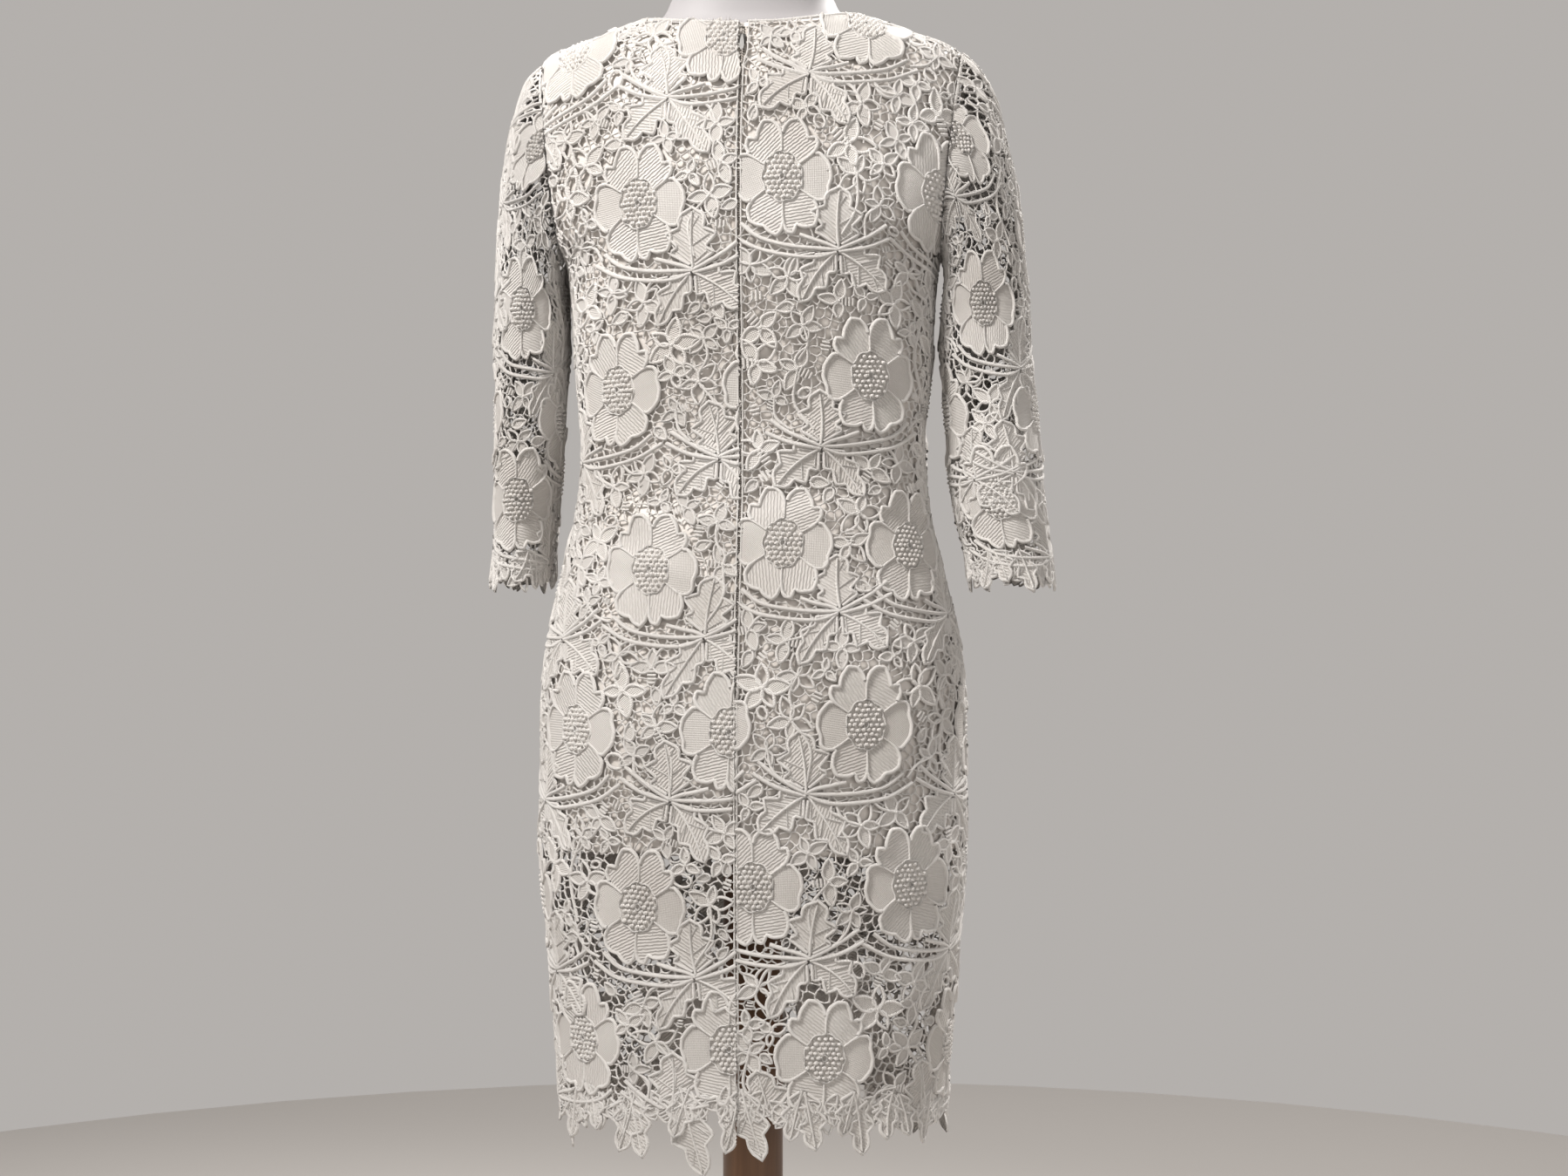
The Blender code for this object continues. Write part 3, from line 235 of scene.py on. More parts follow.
def rotated(x, y, turn):
    """Places turned about the origin."""
    c, s = math.cos(turn), math.sin(turn)
    return x * c - y * s, x * s + y * c


def laid_at(foot, turn, along, aside):
    """Places at lengths along and aside of a direction, from a foot."""
    x, y = rotated(along, aside, turn)
    return np.stack([foot[0] + x, foot[1] + y], axis=-1)


def hermite(u, start, leave, end, arrive):
    """The smooth run at the share u from start to end, which leaves and arrives at these slopes."""
    return (
        (2 * u**3 - 3 * u**2 + 1) * start
        + (u**3 - 2 * u**2 + u) * leave
        + (3 * u**2 - 2 * u**3) * end
        + (u**3 - u**2) * arrive
    )


def blend(grid, row, column):
    """A grid's values at rows and columns that aren't whole numbers."""
    m = np.minimum(row.astype(int), len(grid) - 2)
    i = column.astype(int)
    b, a = row - m, column - i
    if grid.ndim == 3:
        b, a = b[..., None], a[..., None]
    low = grid[m, i] * (1 - a) + grid[m, i + 1] * a
    high = grid[m + 1, i] * (1 - a) + grid[m + 1, i + 1] * a
    return low * (1 - b) + high * b


def curve_through(at, rows, column):
    """One column of a section table at the heights asked for, on a smooth curve that doesn't overshoot."""
    z = np.array([r.z for r in rows]) * MM
    v = np.array([getattr(r, column) for r in rows]) * MM
    order = np.argsort(z)
    z, v = z[order], v[order]
    slope = np.diff(v) / np.diff(z)
    tangent = np.concatenate([[slope[0]], np.zeros(len(slope) - 1), [slope[-1]]])
    same = slope[:-1] * slope[1:] > 0
    tangent[1:-1][same] = 2 * slope[:-1][same] * slope[1:][same] / (slope[:-1] + slope[1:])[same]
    at = np.clip(at, z[0], z[-1])
    i = np.clip(np.searchsorted(z, at) - 1, 0, len(slope) - 1)
    h = z[i + 1] - z[i]
    return hermite((at - z[i]) / h, v[i], h * tangent[i], v[i + 1], h * tangent[i + 1])


def arm_plane_x(z):
    return ARMPIT_X + ARM_LEAN * (z - ARMPIT_Z)


ARM_NORMAL = np.array([1, 0, -ARM_LEAN]) / math.hypot(1, ARM_LEAN)


def kept_beyond(p, way):
    """Pulls points near the armhole back to their own side of its plane: way is 1 outside, -1 inside."""
    past = (p - (ARMPIT_X, 0, ARMPIT_Z)) @ ARM_NORMAL * way
    move = np.where((p[:, 2] > ARMPIT_Z - NEAR_ARMPIT) & (past < HALF_SEAM), HALF_SEAM - past, 0)
    return p + np.outer(move * way, ARM_NORMAL)


def fold_height(side, x, z):
    """How far the creases lift the cloth at a place on the front or the back."""
    lift = np.zeros(np.broadcast(x, z).shape)
    for f in FOLDS:
        if f.side != side:
            continue
        turn = math.radians(f.turn)
        dx, dz = x - f.x * MM, z - f.z * MM
        along = dx * math.cos(turn) + dz * math.sin(turn)
        across = dz * math.cos(turn) - dx * math.sin(turn)
        spread_out = (along / (f.half_length * MM)) ** 2 + (across / (f.half_width * MM)) ** 2
        lift += f.height * MM * np.exp(-spread_out)
    return lift


class Skin:
    """The front or back of the body, by s, the length round from its centre line, and t, the length up."""

    STEP = 0.004

    def __init__(self, side):
        self.side = side
        self.z = np.concatenate([np.arange(0.430, 1.380, 0.004), np.arange(1.380, 1.475, 0.0016)])
        quarter = 360  # steps from the centre line to the side
        turn = np.linspace(0, math.pi, 2 * quarter + 1)
        power = 2 / SQUARENESS
        across = np.abs(np.sin(turn)) ** power
        ahead = np.sign(np.cos(turn)) * np.abs(np.cos(turn)) ** power
        near, far = ("back", "front") if side > 0 else ("front", "back")
        half_width = curve_through(self.z, BODY, "half_width") - LACE_OUT
        near = curve_through(self.z, BODY, near) - LACE_OUT
        far = curve_through(self.z, BODY, far) - LACE_OUT
        self.half_width = half_width
        self.s = np.arange(0, 0.345, self.STEP)
        grid = np.zeros((len(self.z), len(self.s), 3))
        self.side_s, self.arm_s = np.zeros(len(self.z)), np.full(len(self.z), np.nan)
        for k, z in enumerate(self.z):
            x = half_width[k] * across
            y = side * ahead * np.where(turn < math.pi / 2, near[k], far[k])
            length = length_along(np.column_stack([x, y]))
            grid[k, :, 0] = np.interp(self.s, length, x)
            grid[k, :, 1] = np.interp(self.s, length, y)
            grid[k, :, 2] = z
            self.side_s[k] = length[quarter]
            if half_width[k] > arm_plane_x(z) and z > ARMPIT_Z - NEAR_ARMPIT:
                self.arm_s[k] = np.interp(arm_plane_x(z), x[: quarter + 1], length[: quarter + 1])
        run = np.linalg.norm(np.diff(grid, axis=0), axis=2)
        self.up = np.vstack([np.zeros(len(self.s)), np.cumsum(run, axis=0)])
        self.t = np.arange(0, self.up[:, 0].max() + 0.05, self.STEP)
        self.points = np.zeros((len(self.t), len(self.s), 3))
        for j in range(len(self.s)):
            for axis in range(3):
                self.points[:, j, axis] = np.interp(self.t, self.up[:, j], grid[:, j, axis])
        along_t = np.gradient(self.points, axis=0)
        along_s = np.gradient(self.points, axis=1)
        self.normals = unit(np.cross(along_t, along_s) * side)

    def level(self, s, z):
        """t of the place at the length s round the ring at the height z."""
        s, z = np.broadcast_arrays(np.asarray(s, float), np.asarray(z, float))
        column = np.clip(np.abs(s) / self.STEP, 0, len(self.s) - 1.001)
        return blend(self.up, np.interp(z, self.z, np.arange(len(self.z))), column)

    def side_at(self, z):
        """The length s from the centre line to the side, at the height z."""
        return np.interp(z, self.z, self.side_s)

    def look_up(self, grid, s, t):
        """A grid's values at places on the skin."""
        column = np.clip(np.abs(s) / self.STEP, 0, len(self.s) - 1.001)
        return blend(grid, np.clip(t / self.STEP, 0, len(self.t) - 1.001), column)

    def place(self, st, out, hand):
        """Points moved out from the skin. hand is 1 or -1 for a left or right panel, 0 where s has a sign."""
        s, t = st[:, 0], st[:, 1]
        mirror = np.where(s < 0, -1, 1) * (hand or 1)
        p, n = self.look_up(self.points, s, t), unit(self.look_up(self.normals, s, t))
        lift = fold_height(self.side, p[:, 0] * mirror, p[:, 2])
        p += n * np.reshape(out + lift, (-1, 1))
        p = kept_beyond(p, -1)
        p[:, 0] *= mirror
        return p


BACK, FRONT = Skin(1), Skin(-1)


def arm_run(skin):
    """The armhole's edge on one skin, from the armpit up to the shoulder, as s and z."""
    rows = np.flatnonzero(~np.isnan(skin.arm_s))
    z, s = skin.z[rows], skin.arm_s[rows]
    reach = skin.half_width[rows] - arm_plane_x(z)
    low, high = rows[0], rows[-1]
    gap = skin.half_width - arm_plane_x(skin.z)
    z0 = skin.z[low - 1] + (skin.z[low] - skin.z[low - 1]) * (-gap[low - 1]) / (gap[low] - gap[low - 1])
    z1 = skin.z[high] + (skin.z[high + 1] - skin.z[high]) * gap[high] / (gap[high] - gap[high + 1])
    keep = reach > 0.4 * MM
    z = np.concatenate([[z0], z[keep], [z1]])
    s = np.concatenate([[skin.side_at(z0)], s[keep], [skin.side_at(z1)]])
    return s, z


def spread(s, t, count):
    """count points at even spacing along a line, both ends included."""
    length = length_along(np.column_stack([s, t]))
    at = np.linspace(0, length[-1], count)
    return np.interp(at, length, s), np.interp(at, length, t)


def slit(z):
    """Half the opening between the lace edges: wide for the slider, narrow along the zip, then a seam."""
    wide = np.clip((z - 1.386) / 0.010, 0, 1)
    along = np.where(z > ZIP_END_Z, ZIP_SLIT, HALF_SEAM)
    return along + (SLIDER_SLIT - along) * wide


def panel_edges(skin, hem_z, rise, centre):
    """A half panel's four edges in (s, t) metres: hem, outer edge, top and centre line."""
    side_hem = skin.side_at(hem_z)
    s = np.linspace(centre(np.array([hem_z]))[0], side_hem, 40)
    z = hem_z + rise * np.cos(np.clip(s / side_hem, 0, 1) * math.pi / 2)
    hem = np.column_stack([s, skin.level(s, z)])
    arm_s, arm_z = arm_run(skin)
    z = np.linspace(hem_z, arm_z[0], 60)
    s = skin.side_at(z)
    side = np.column_stack([s, skin.level(s, z)])
    arm = np.column_stack(spread(arm_s, skin.level(arm_s, arm_z), 40))
    z = np.linspace(arm_z[-1], NECK_SIDE_Z, 12)
    s = skin.side_at(z)
    shoulder = np.column_stack([s, skin.level(s, z)])
    neck_z = NECK_BACK_Z if skin.side > 0 else NECK_FRONT_Z
    u = np.linspace(1, 0, 30)
    s_end = skin.side_at(NECK_SIDE_Z)
    curve = 1 - np.cos(u * math.pi / 2) if skin.side < 0 else u**2
    z = neck_z + (NECK_SIDE_Z - neck_z) * curve
    s = s_end * np.sin(u * math.pi / 2) if skin.side < 0 else s_end * u
    s = np.maximum(s, centre(np.array([neck_z]))[0])
    neck = np.column_stack([s, skin.level(s, z)])
    z = np.linspace(neck_z, hem_z + rise, 160)
    s = centre(z)
    middle = np.column_stack([s, skin.level(s, z)])
    return {"hem": hem, "side": side, "arm": arm, "shoulder": shoulder, "neck": neck, "middle": middle}


def no_seam(z):
    return np.zeros(len(z))


def plain_seam(z):
    return np.full(len(z), HALF_SEAM)


def inside(points, loop):
    """Which points lie in a closed outline."""
    found = np.zeros(len(points), bool)
    x0, y0 = loop[:, 0], loop[:, 1]
    x1, y1 = np.roll(x0, -1), np.roll(y0, -1)
    level = np.where(y1 == y0, 1e-12, y1 - y0)
    for low in range(0, len(points), 20000):
        x, y = points[low : low + 20000, 0][:, None], points[low : low + 20000, 1][:, None]
        crossed = ((y0 > y) != (y1 > y)) & (x < (x1 - x0) * (y - y0) / level + x0)
        found[low : low + 20000] = crossed.sum(axis=1) % 2 == 1
    return found


def through(points, count):
    """A smooth line through a few points."""
    p = np.array(points, float)
    p = np.vstack([2 * p[0] - p[1], p, 2 * p[-1] - p[-2]])
    out = []
    at = np.linspace(0, len(p) - 3 - 1e-9, count)
    for a in at:
        i = int(a)
        u = a - i
        before, start, end, after = p[i : i + 4]
        out.append(hermite(u, start, (end - before) / 2, end, (after - start) / 2))
    return np.array(out)


class Bits:
    """Loose mesh on the flat pattern: corners (x, y, height) in millimetres, threads and triangles.

    A corner's thread coordinates are its place in the stitches, and the kind of stitch: plain to corded.
    """

    def __init__(self):
        self.at, self.thread, self.tri, self.count = [], [], [], 0

    def add(self, at, thread, tri):
        self.at.append(at)
        self.thread.append(thread)
        self.tri.append(tri + self.count)
        self.count += len(at)

    def whole(self):
        if not self.at:
            return np.zeros((0, 3)), np.zeros((0, 3)), np.zeros((0, 3), int)
        return np.vstack(self.at), np.vstack(self.thread), np.vstack(self.tri)


def grid_triangles(rows, columns, closed=False):
    """Two triangles for each cell of a grid of corners listed row by row."""
    r = np.arange(rows if closed else rows - 1)[:, None]
    c = np.arange(columns - 1)[None]
    a = r * columns + c
    d = (r + 1) % rows * columns + c
    return np.stack([np.stack([a, d, d + 1], -1), np.stack([a, d + 1, a + 1], -1)], 2).reshape(-1, 3)


def cord(bits, line, radius, low, rise, closed=False, points=4):
    """A raised cord along a line: half a tube, its feet at the height low and its ridge at low + rise."""
    line = np.asarray(line, float)
    n = len(line)
    if closed:
        ahead = unit(np.roll(line, -1, 0) - np.roll(line, 1, 0))
        across = np.column_stack([-ahead[:, 1], ahead[:, 0]])
    else:
        across = to_the_left(line)
    turn = np.linspace(0, math.pi, points)
    radius = np.broadcast_to(radius, n)
    low = np.broadcast_to(low, n)
    at = np.empty((n, points, 3))
    at[..., :2] = line[:, None] + across[:, None] * (np.cos(turn)[None, :, None] * radius[:, None, None])
    at[..., 2] = low[:, None] + rise * np.sin(turn)[None]
    thread = np.empty((n, points, 3))
    thread[..., 0] = length_along(line)[:, None]
    thread[..., 1] = turn[None] * radius[:, None]
    thread[..., 2] = CORDED
    bits.add(at.reshape(-1, 3), thread.reshape(-1, 3), grid_triangles(n, points, closed))


def patch(bits, grid, height, rib_turn=0.0, kind=RIBBED):
    """A sheet of corners with heights, its ribs running at an angle."""
    rows, columns = grid.shape[:2]
    at = np.concatenate([grid, height[..., None]], axis=2).reshape(-1, 3)
    thread = np.column_stack([*rotated(at[:, 0], at[:, 1], -rib_turn), np.full(len(at), kind)])
    bits.add(at, thread, grid_triangles(rows, columns))


KNOT_SIDES = 6


def knot(bits, x, y, radius, low, rise):
    """A small round knot of thread: a ring at its foot, a smaller one higher up, and its top."""
    at = []
    for share, up in ((1, 0), (0.74, 0.72)):
        for turn in np.arange(KNOT_SIDES) * TAU / KNOT_SIDES:
            reach = share * radius
            at.append((x + reach * math.cos(turn), y + reach * math.sin(turn), low + up * rise))
    at.append((x, y, low + rise))
    tri = []
    for k in range(KNOT_SIDES):
        n = (k + 1) % KNOT_SIDES
        tri += [(k, n, KNOT_SIDES + n), (k, KNOT_SIDES + n, KNOT_SIDES + k)]
        tri.append((KNOT_SIDES + k, KNOT_SIDES + n, 2 * KNOT_SIDES))
    at = np.array(at)
    thread = np.column_stack([at[:, 0], at[:, 1], np.full(len(at), CORDED)])
    bits.add(at, thread, np.array(tri))


class Motif:
    """A flower, leaf or blossom about its own middle, with the outline that it covers."""

    def __init__(self):
        self.ground, self.cords, self.knots = Bits(), Bits(), Bits()
        self.outlines = []

    def layers(self):
        return self.ground, self.cords, self.knots


def oval(turn, share):
    """Places in the flower's oval, from its middle."""
    return np.stack(
        [FLOWER_HALF_WIDTH * share * np.cos(turn), FLOWER_HALF_HEIGHT * share * np.sin(turn)], axis=-1
    )


# A flower's make-up, as shares of its oval
CLUSTER = 0.42  # the knots in the middle
NOTCH = 0.74  # where two petals meet
PETALS = 6
KNOT_PITCH = 4.6

# A petal's edge, from one side to the other, and how far out it is there: 0 at the notch, 1 at the oval
PETAL_ENDS = {
    "crown": [
        (-1, 0.15), (-0.86, 0.66), (-0.60, 0.84), (-0.36, 0.36), (-0.12, 0.72), (0.32, 1.12), (0.66, 0.86),
        (0.9, 0.4), (1, 0),
    ],
    "mirrored crown": [
        (-1, 0), (-0.88, 0.45), (-0.62, 0.9), (-0.28, 1.10), (0.10, 0.66), (0.32, 0.34), (0.58, 0.86),
        (0.88, 0.62), (1, 0.15),
    ],
    "corner": [
        (-1, 0.25), (-0.82, 0.80), (-0.62, 0.98), (-0.36, 0.84), (0.0, 1.04), (0.36, 0.98), (0.7, 0.66),
        (0.9, 0.48), (1, 0.15),
    ],
    "wavy": [
        (-1, 0.1), (-0.86, 0.66), (-0.52, 0.98), (-0.2, 0.86), (0.12, 0.62), (0.4, 0.82), (0.72, 0.92),
        (0.92, 0.5), (1, 0.1),
    ],
}
FLOWER_ENDS = ["corner", "crown", "mirrored crown", "corner", "wavy", "crown"]  # round from the right
MESHED_PETALS = (0, 3)


def petal_reach(across, end):
    """How far out a petal's edge is across its width."""
    knots = np.array(PETAL_ENDS[end])
    return NOTCH + (1 - NOTCH) * np.interp(across, knots[:, 0], knots[:, 1])


def cluster_edge(turn):
    """The scalloped edge of the knots, in nine scallops."""
    return CLUSTER * (0.93 + 0.07 * np.abs(np.sin(4.5 * turn)))


def add_flower_petal(motif, random, middle, end, kind):
    """One petal of a flower: a sheet that curls up to its edge, and a thick cord round it."""
    half = math.pi / PETALS
    across = np.linspace(-1, 1, 13)
    edge = np.linspace(-1, 1, 25)
    lean = random.uniform(-0.35, 0.35)
    curl = random.uniform(0.2, 1.5)
    up = np.linspace(0, 1, 5)[:, None]
    foot = CLUSTER * 0.96
    reach = foot + (petal_reach(across, end)[None] - foot) * up
    turn = middle + half * across[None] + 0 * up
    height = 0.45 + 0.3 * np.sin(up * math.pi) + curl * up**2 * (1 + lean * across[None])
    patch(motif.ground, oval(turn, reach), height, random.uniform(0, math.pi), kind)
    side = oval(np.full(3, middle - half), np.linspace(CLUSTER, NOTCH, 4)[:-1])
    rim = oval(middle + half * edge * 0.97, petal_reach(edge, end) * 0.985)
    low = np.concatenate([np.full(3, 0.2), 0.15 + curl * (1 + lean * edge)])
    radius = np.concatenate([[0.7, 0.9, 1.2], 1.65 + 0 * edge])
    cord(motif.cords, np.vstack([side, rim]), radius, low, 2.2, points=5)


def add_knots(motif, random):
    """A flower's knots in rows, on a flat disc with spokes and a scalloped cord round it."""
    up = np.array([0.02, 0.5, 1])[:, None]
    turn = np.linspace(0, TAU, 25)[None] + 0 * up
    patch(motif.ground, oval(turn, CLUSTER * 0.95 * up + 0 * turn), 0.1 + 0 * turn, 0.0, PLAIN)
    turn = np.linspace(0, TAU, 55)[:-1]
    cord(motif.cords, oval(turn, cluster_edge(turn)), 0.75, 0.2, 1.9, closed=True, points=3)
    start = random.uniform(0, 0.5)
    for k in range(8):
        turn = start + k * TAU / 8 + random.uniform(-0.08, 0.08)
        cord(motif.cords, oval(np.full(3, turn), np.array([0.07, 0.24, CLUSTER])), 0.42, 0.2, 1.5, points=3)
    for j in range(-7, 8):
        for i in range(-6, 7):
            x, y = (i + 0.5 * (j % 2)) * KNOT_PITCH, j * KNOT_PITCH * 0.88
            turn = math.atan2(y / FLOWER_HALF_HEIGHT, x / FLOWER_HALF_WIDTH)
            share = math.hypot(x / FLOWER_HALF_WIDTH, y / FLOWER_HALF_HEIGHT)
            if 0.07 < share < cluster_edge(turn) - 0.025:
                x, y = x + random.uniform(-0.45, 0.45), y + random.uniform(-0.45, 0.45)
                knot(motif.knots, x, y, random.uniform(1.85, 2.15), 0.0, random.uniform(2.5, 3.4))
    turn = np.linspace(0, TAU, 11)[:-1]
    cord(motif.cords, oval(turn, 0.055), 0.7, 0.3, 1.9, closed=True, points=3)


def make_flower(random):
    """Six ribbed or meshed petals with thick cord edges round a cluster of knots."""
    motif = Motif()
    for k, end in enumerate(FLOWER_ENDS):
        middle = k * TAU / PETALS + random.uniform(-0.03, 0.03)
        add_flower_petal(motif, random, middle, end, PLAIN if k in MESHED_PETALS else RIBBED)
    add_knots(motif, random)
    turn = np.linspace(0, TAU, 73)[:-1]
    across = (turn / (TAU / PETALS) + 0.5) % 1 * 2 - 1
    motif.outlines.append(oval(turn, petal_reach(across, "corner") * 1.03))
    return motif


def leaf_width(u, teeth, depth):
    """Half a leaf's width along it, with forward-pointing teeth."""
    body = np.sin(math.pi * np.clip(u, 0, 1) ** 0.85) ** 0.75
    saw = (u * teeth) % 1
    return body * (1 - depth + depth * np.where(saw < 0.7, saw / 0.7, (1 - saw) / 0.3) * 1.35)


def make_leaf(motif, length, width, turn, teeth=3, foot=(0, 0), bend=0.0, curl=0.8):
    """A leaf from its foot: domed halves, cord edge, ridge and side veins."""
    rows = 4 * teeth + 3
    depth = 0.42
    u = np.linspace(0.0, 1.0, rows)
    half = np.maximum(leaf_width(u, teeth, depth), 0.04) * width / 2
    half[-1] = 0.02 * width
    v = np.array([-1, -0.62, -0.2, 0.2, 0.62, 1])
    sway = bend * np.sin(u * math.pi)

    def laid(along, aside):
        return laid_at(foot, turn, along * length, aside)

    grid = laid(u[:, None] + 0.03 * np.abs(v)[None], sway[:, None] + v[None] * half[:, None])
    dome = 0.40 + 0.30 * (1 - np.abs(v)[None] ** 1.5)
    height = dome * np.minimum(1, 5 * u * (1.15 - u))[:, None] + curl * u[:, None] ** 2
    patch(motif.ground, grid, height, turn + 0.9)
    fine = np.linspace(0.02, 1.0, rows + 6)
    wide = np.maximum(leaf_width(fine, teeth, depth), 0.03) * width / 2
    wide[-1] = 0
    swing = bend * np.sin(fine * math.pi)
    line = np.vstack([laid(fine + 0.03, swing + wide), laid(fine[::-1] + 0.03, (swing - wide)[::-1])[1:]])
    low = curl * np.concatenate([fine, fine[::-1][1:]]) ** 2
    radius = min(1.5, width / 12)
    cord(motif.cords, line, radius, low, 2.1)
    cord(motif.cords, laid(u * 0.96, sway), radius * (1 - 0.55 * u), 0.3 + curl * u**2, 2.1)
    for k in range(teeth):
        for sign in (-1, 1):
            start = (k + 0.25) / teeth * 0.9
            tip = min(0.97, start + 0.62 / teeth)
            aside = sign * 0.8 * np.interp(tip, u, half)
            ends = np.linspace(0, 1, 3)
            vein = laid(start + (tip - start) * ends, np.interp(start, u, sway) + aside * ends)
            cord(motif.cords, vein, 0.55, 0.5 + curl * start**2, 1.15, points=3)
    motif.outlines.append(np.vstack([laid(u, sway + half), laid(u, sway - half)[::-1]]))


def make_petal(motif, length, width, turn, foot=(0, 0), pointed=0.75, curl=0.5, filled=True):
    """A small petal of a blossom, from its foot: a cord edge, closed with cloth or open."""

    def half_width(along):
        return np.maximum(np.sin(math.pi * along**pointed) ** 0.8, 0.03) * width / 2

    def laid(along, aside):
        return laid_at(foot, turn, along * length, aside)

    if filled:
        u = np.linspace(0, 1, 6)[:, None]
        v = np.array([-1, 0, 1])[None]
        height = 0.35 + 0.25 * (1 - np.abs(v)) * np.sin(math.pi * u) + curl * u**2
        patch(motif.ground, laid(u + 0 * v, v * half_width(u)), height, turn + 0.5, PLAIN)
    fine = np.linspace(0, 1, 9)
    wide = half_width(fine)
    wide[-1] = 0
    line = np.vstack([laid(fine, wide), laid(fine[::-1], -wide[::-1])[1:]])
    low = curl * np.concatenate([fine, fine[::-1][1:]]) ** 2
    cord(motif.cords, line, 1.25, low, 2.0)
    motif.outlines.append(line)


def make_ladder(motif, count, length, pitch, turn, foot=(0, 0)):
    """Short thick bars side by side."""
    for j in range(count):
        reach = 0.5 * length * (1 - 0.25 * abs(2 * j / max(1, count - 1) - 1))
        bar = laid_at(foot, turn, np.full(3, (j + 0.5) * pitch), reach * np.array([-1, 0, 1]))
        cord(motif.cords, bar, 1.25, 0.1, 2.0)
    along, aside = count * pitch * np.array([0, 1, 1, 0]), length / 2 * np.array([-1, -1, 1, 1])
    motif.outlines.append(laid_at(foot, turn, along, aside))


def make_blossom(random, count, radius, stripes=False):
    """A small blossom of pointed petals, some open inside, one perhaps a ladder of stamens."""
    motif = Motif()
    start = random.uniform(0, TAU)
    for k in range(count):
        turn = start + k * TAU / count + random.uniform(-0.16, 0.16)
        length = radius * random.uniform(0.82, 1.15)
        foot = (1.2 * math.cos(turn), 1.2 * math.sin(turn))
        if stripes and k == 0:
            make_ladder(motif, 4, 8.5, 3.1, turn, foot)
        else:
            make_petal(
                motif, length, length * random.uniform(0.48, 0.62), turn, foot,
                curl=random.uniform(0.0, 0.7), filled=random.uniform() < 0.8,
            )
    knot(motif.knots, 0, 0, 1.7, 0.3, 2.2)
    return motif


def make_loop(random, radius):
    """A ring of cord, slightly oval; the net closes the larger ones."""
    motif = Motif()
    turn = np.linspace(0, TAU, 15 if radius > 4 else 11)[:-1]
    long_way = random.uniform(0, math.pi)
    line = np.column_stack(rotated(radius * 1.18 * np.cos(turn), radius * 0.82 * np.sin(turn), long_way))
    cord(motif.cords, line, 1.15, 0.1, 1.9, closed=True)
    motif.outlines.append(line)
    return motif


def make_bars(random):
    """A lone ladder of bars."""
    motif = Motif()
    make_ladder(motif, random.integers(3, 5), random.uniform(7, 10), 3.2, 0.0, (-5.5, 0))
    return motif


def make_single(random, length, width):
    """A lone bud-like leaf about its middle."""
    motif = Motif()
    make_petal(motif, length, width, 0.0, (-length / 2, 0), curl=random.uniform(0.0, 0.6))
    return motif


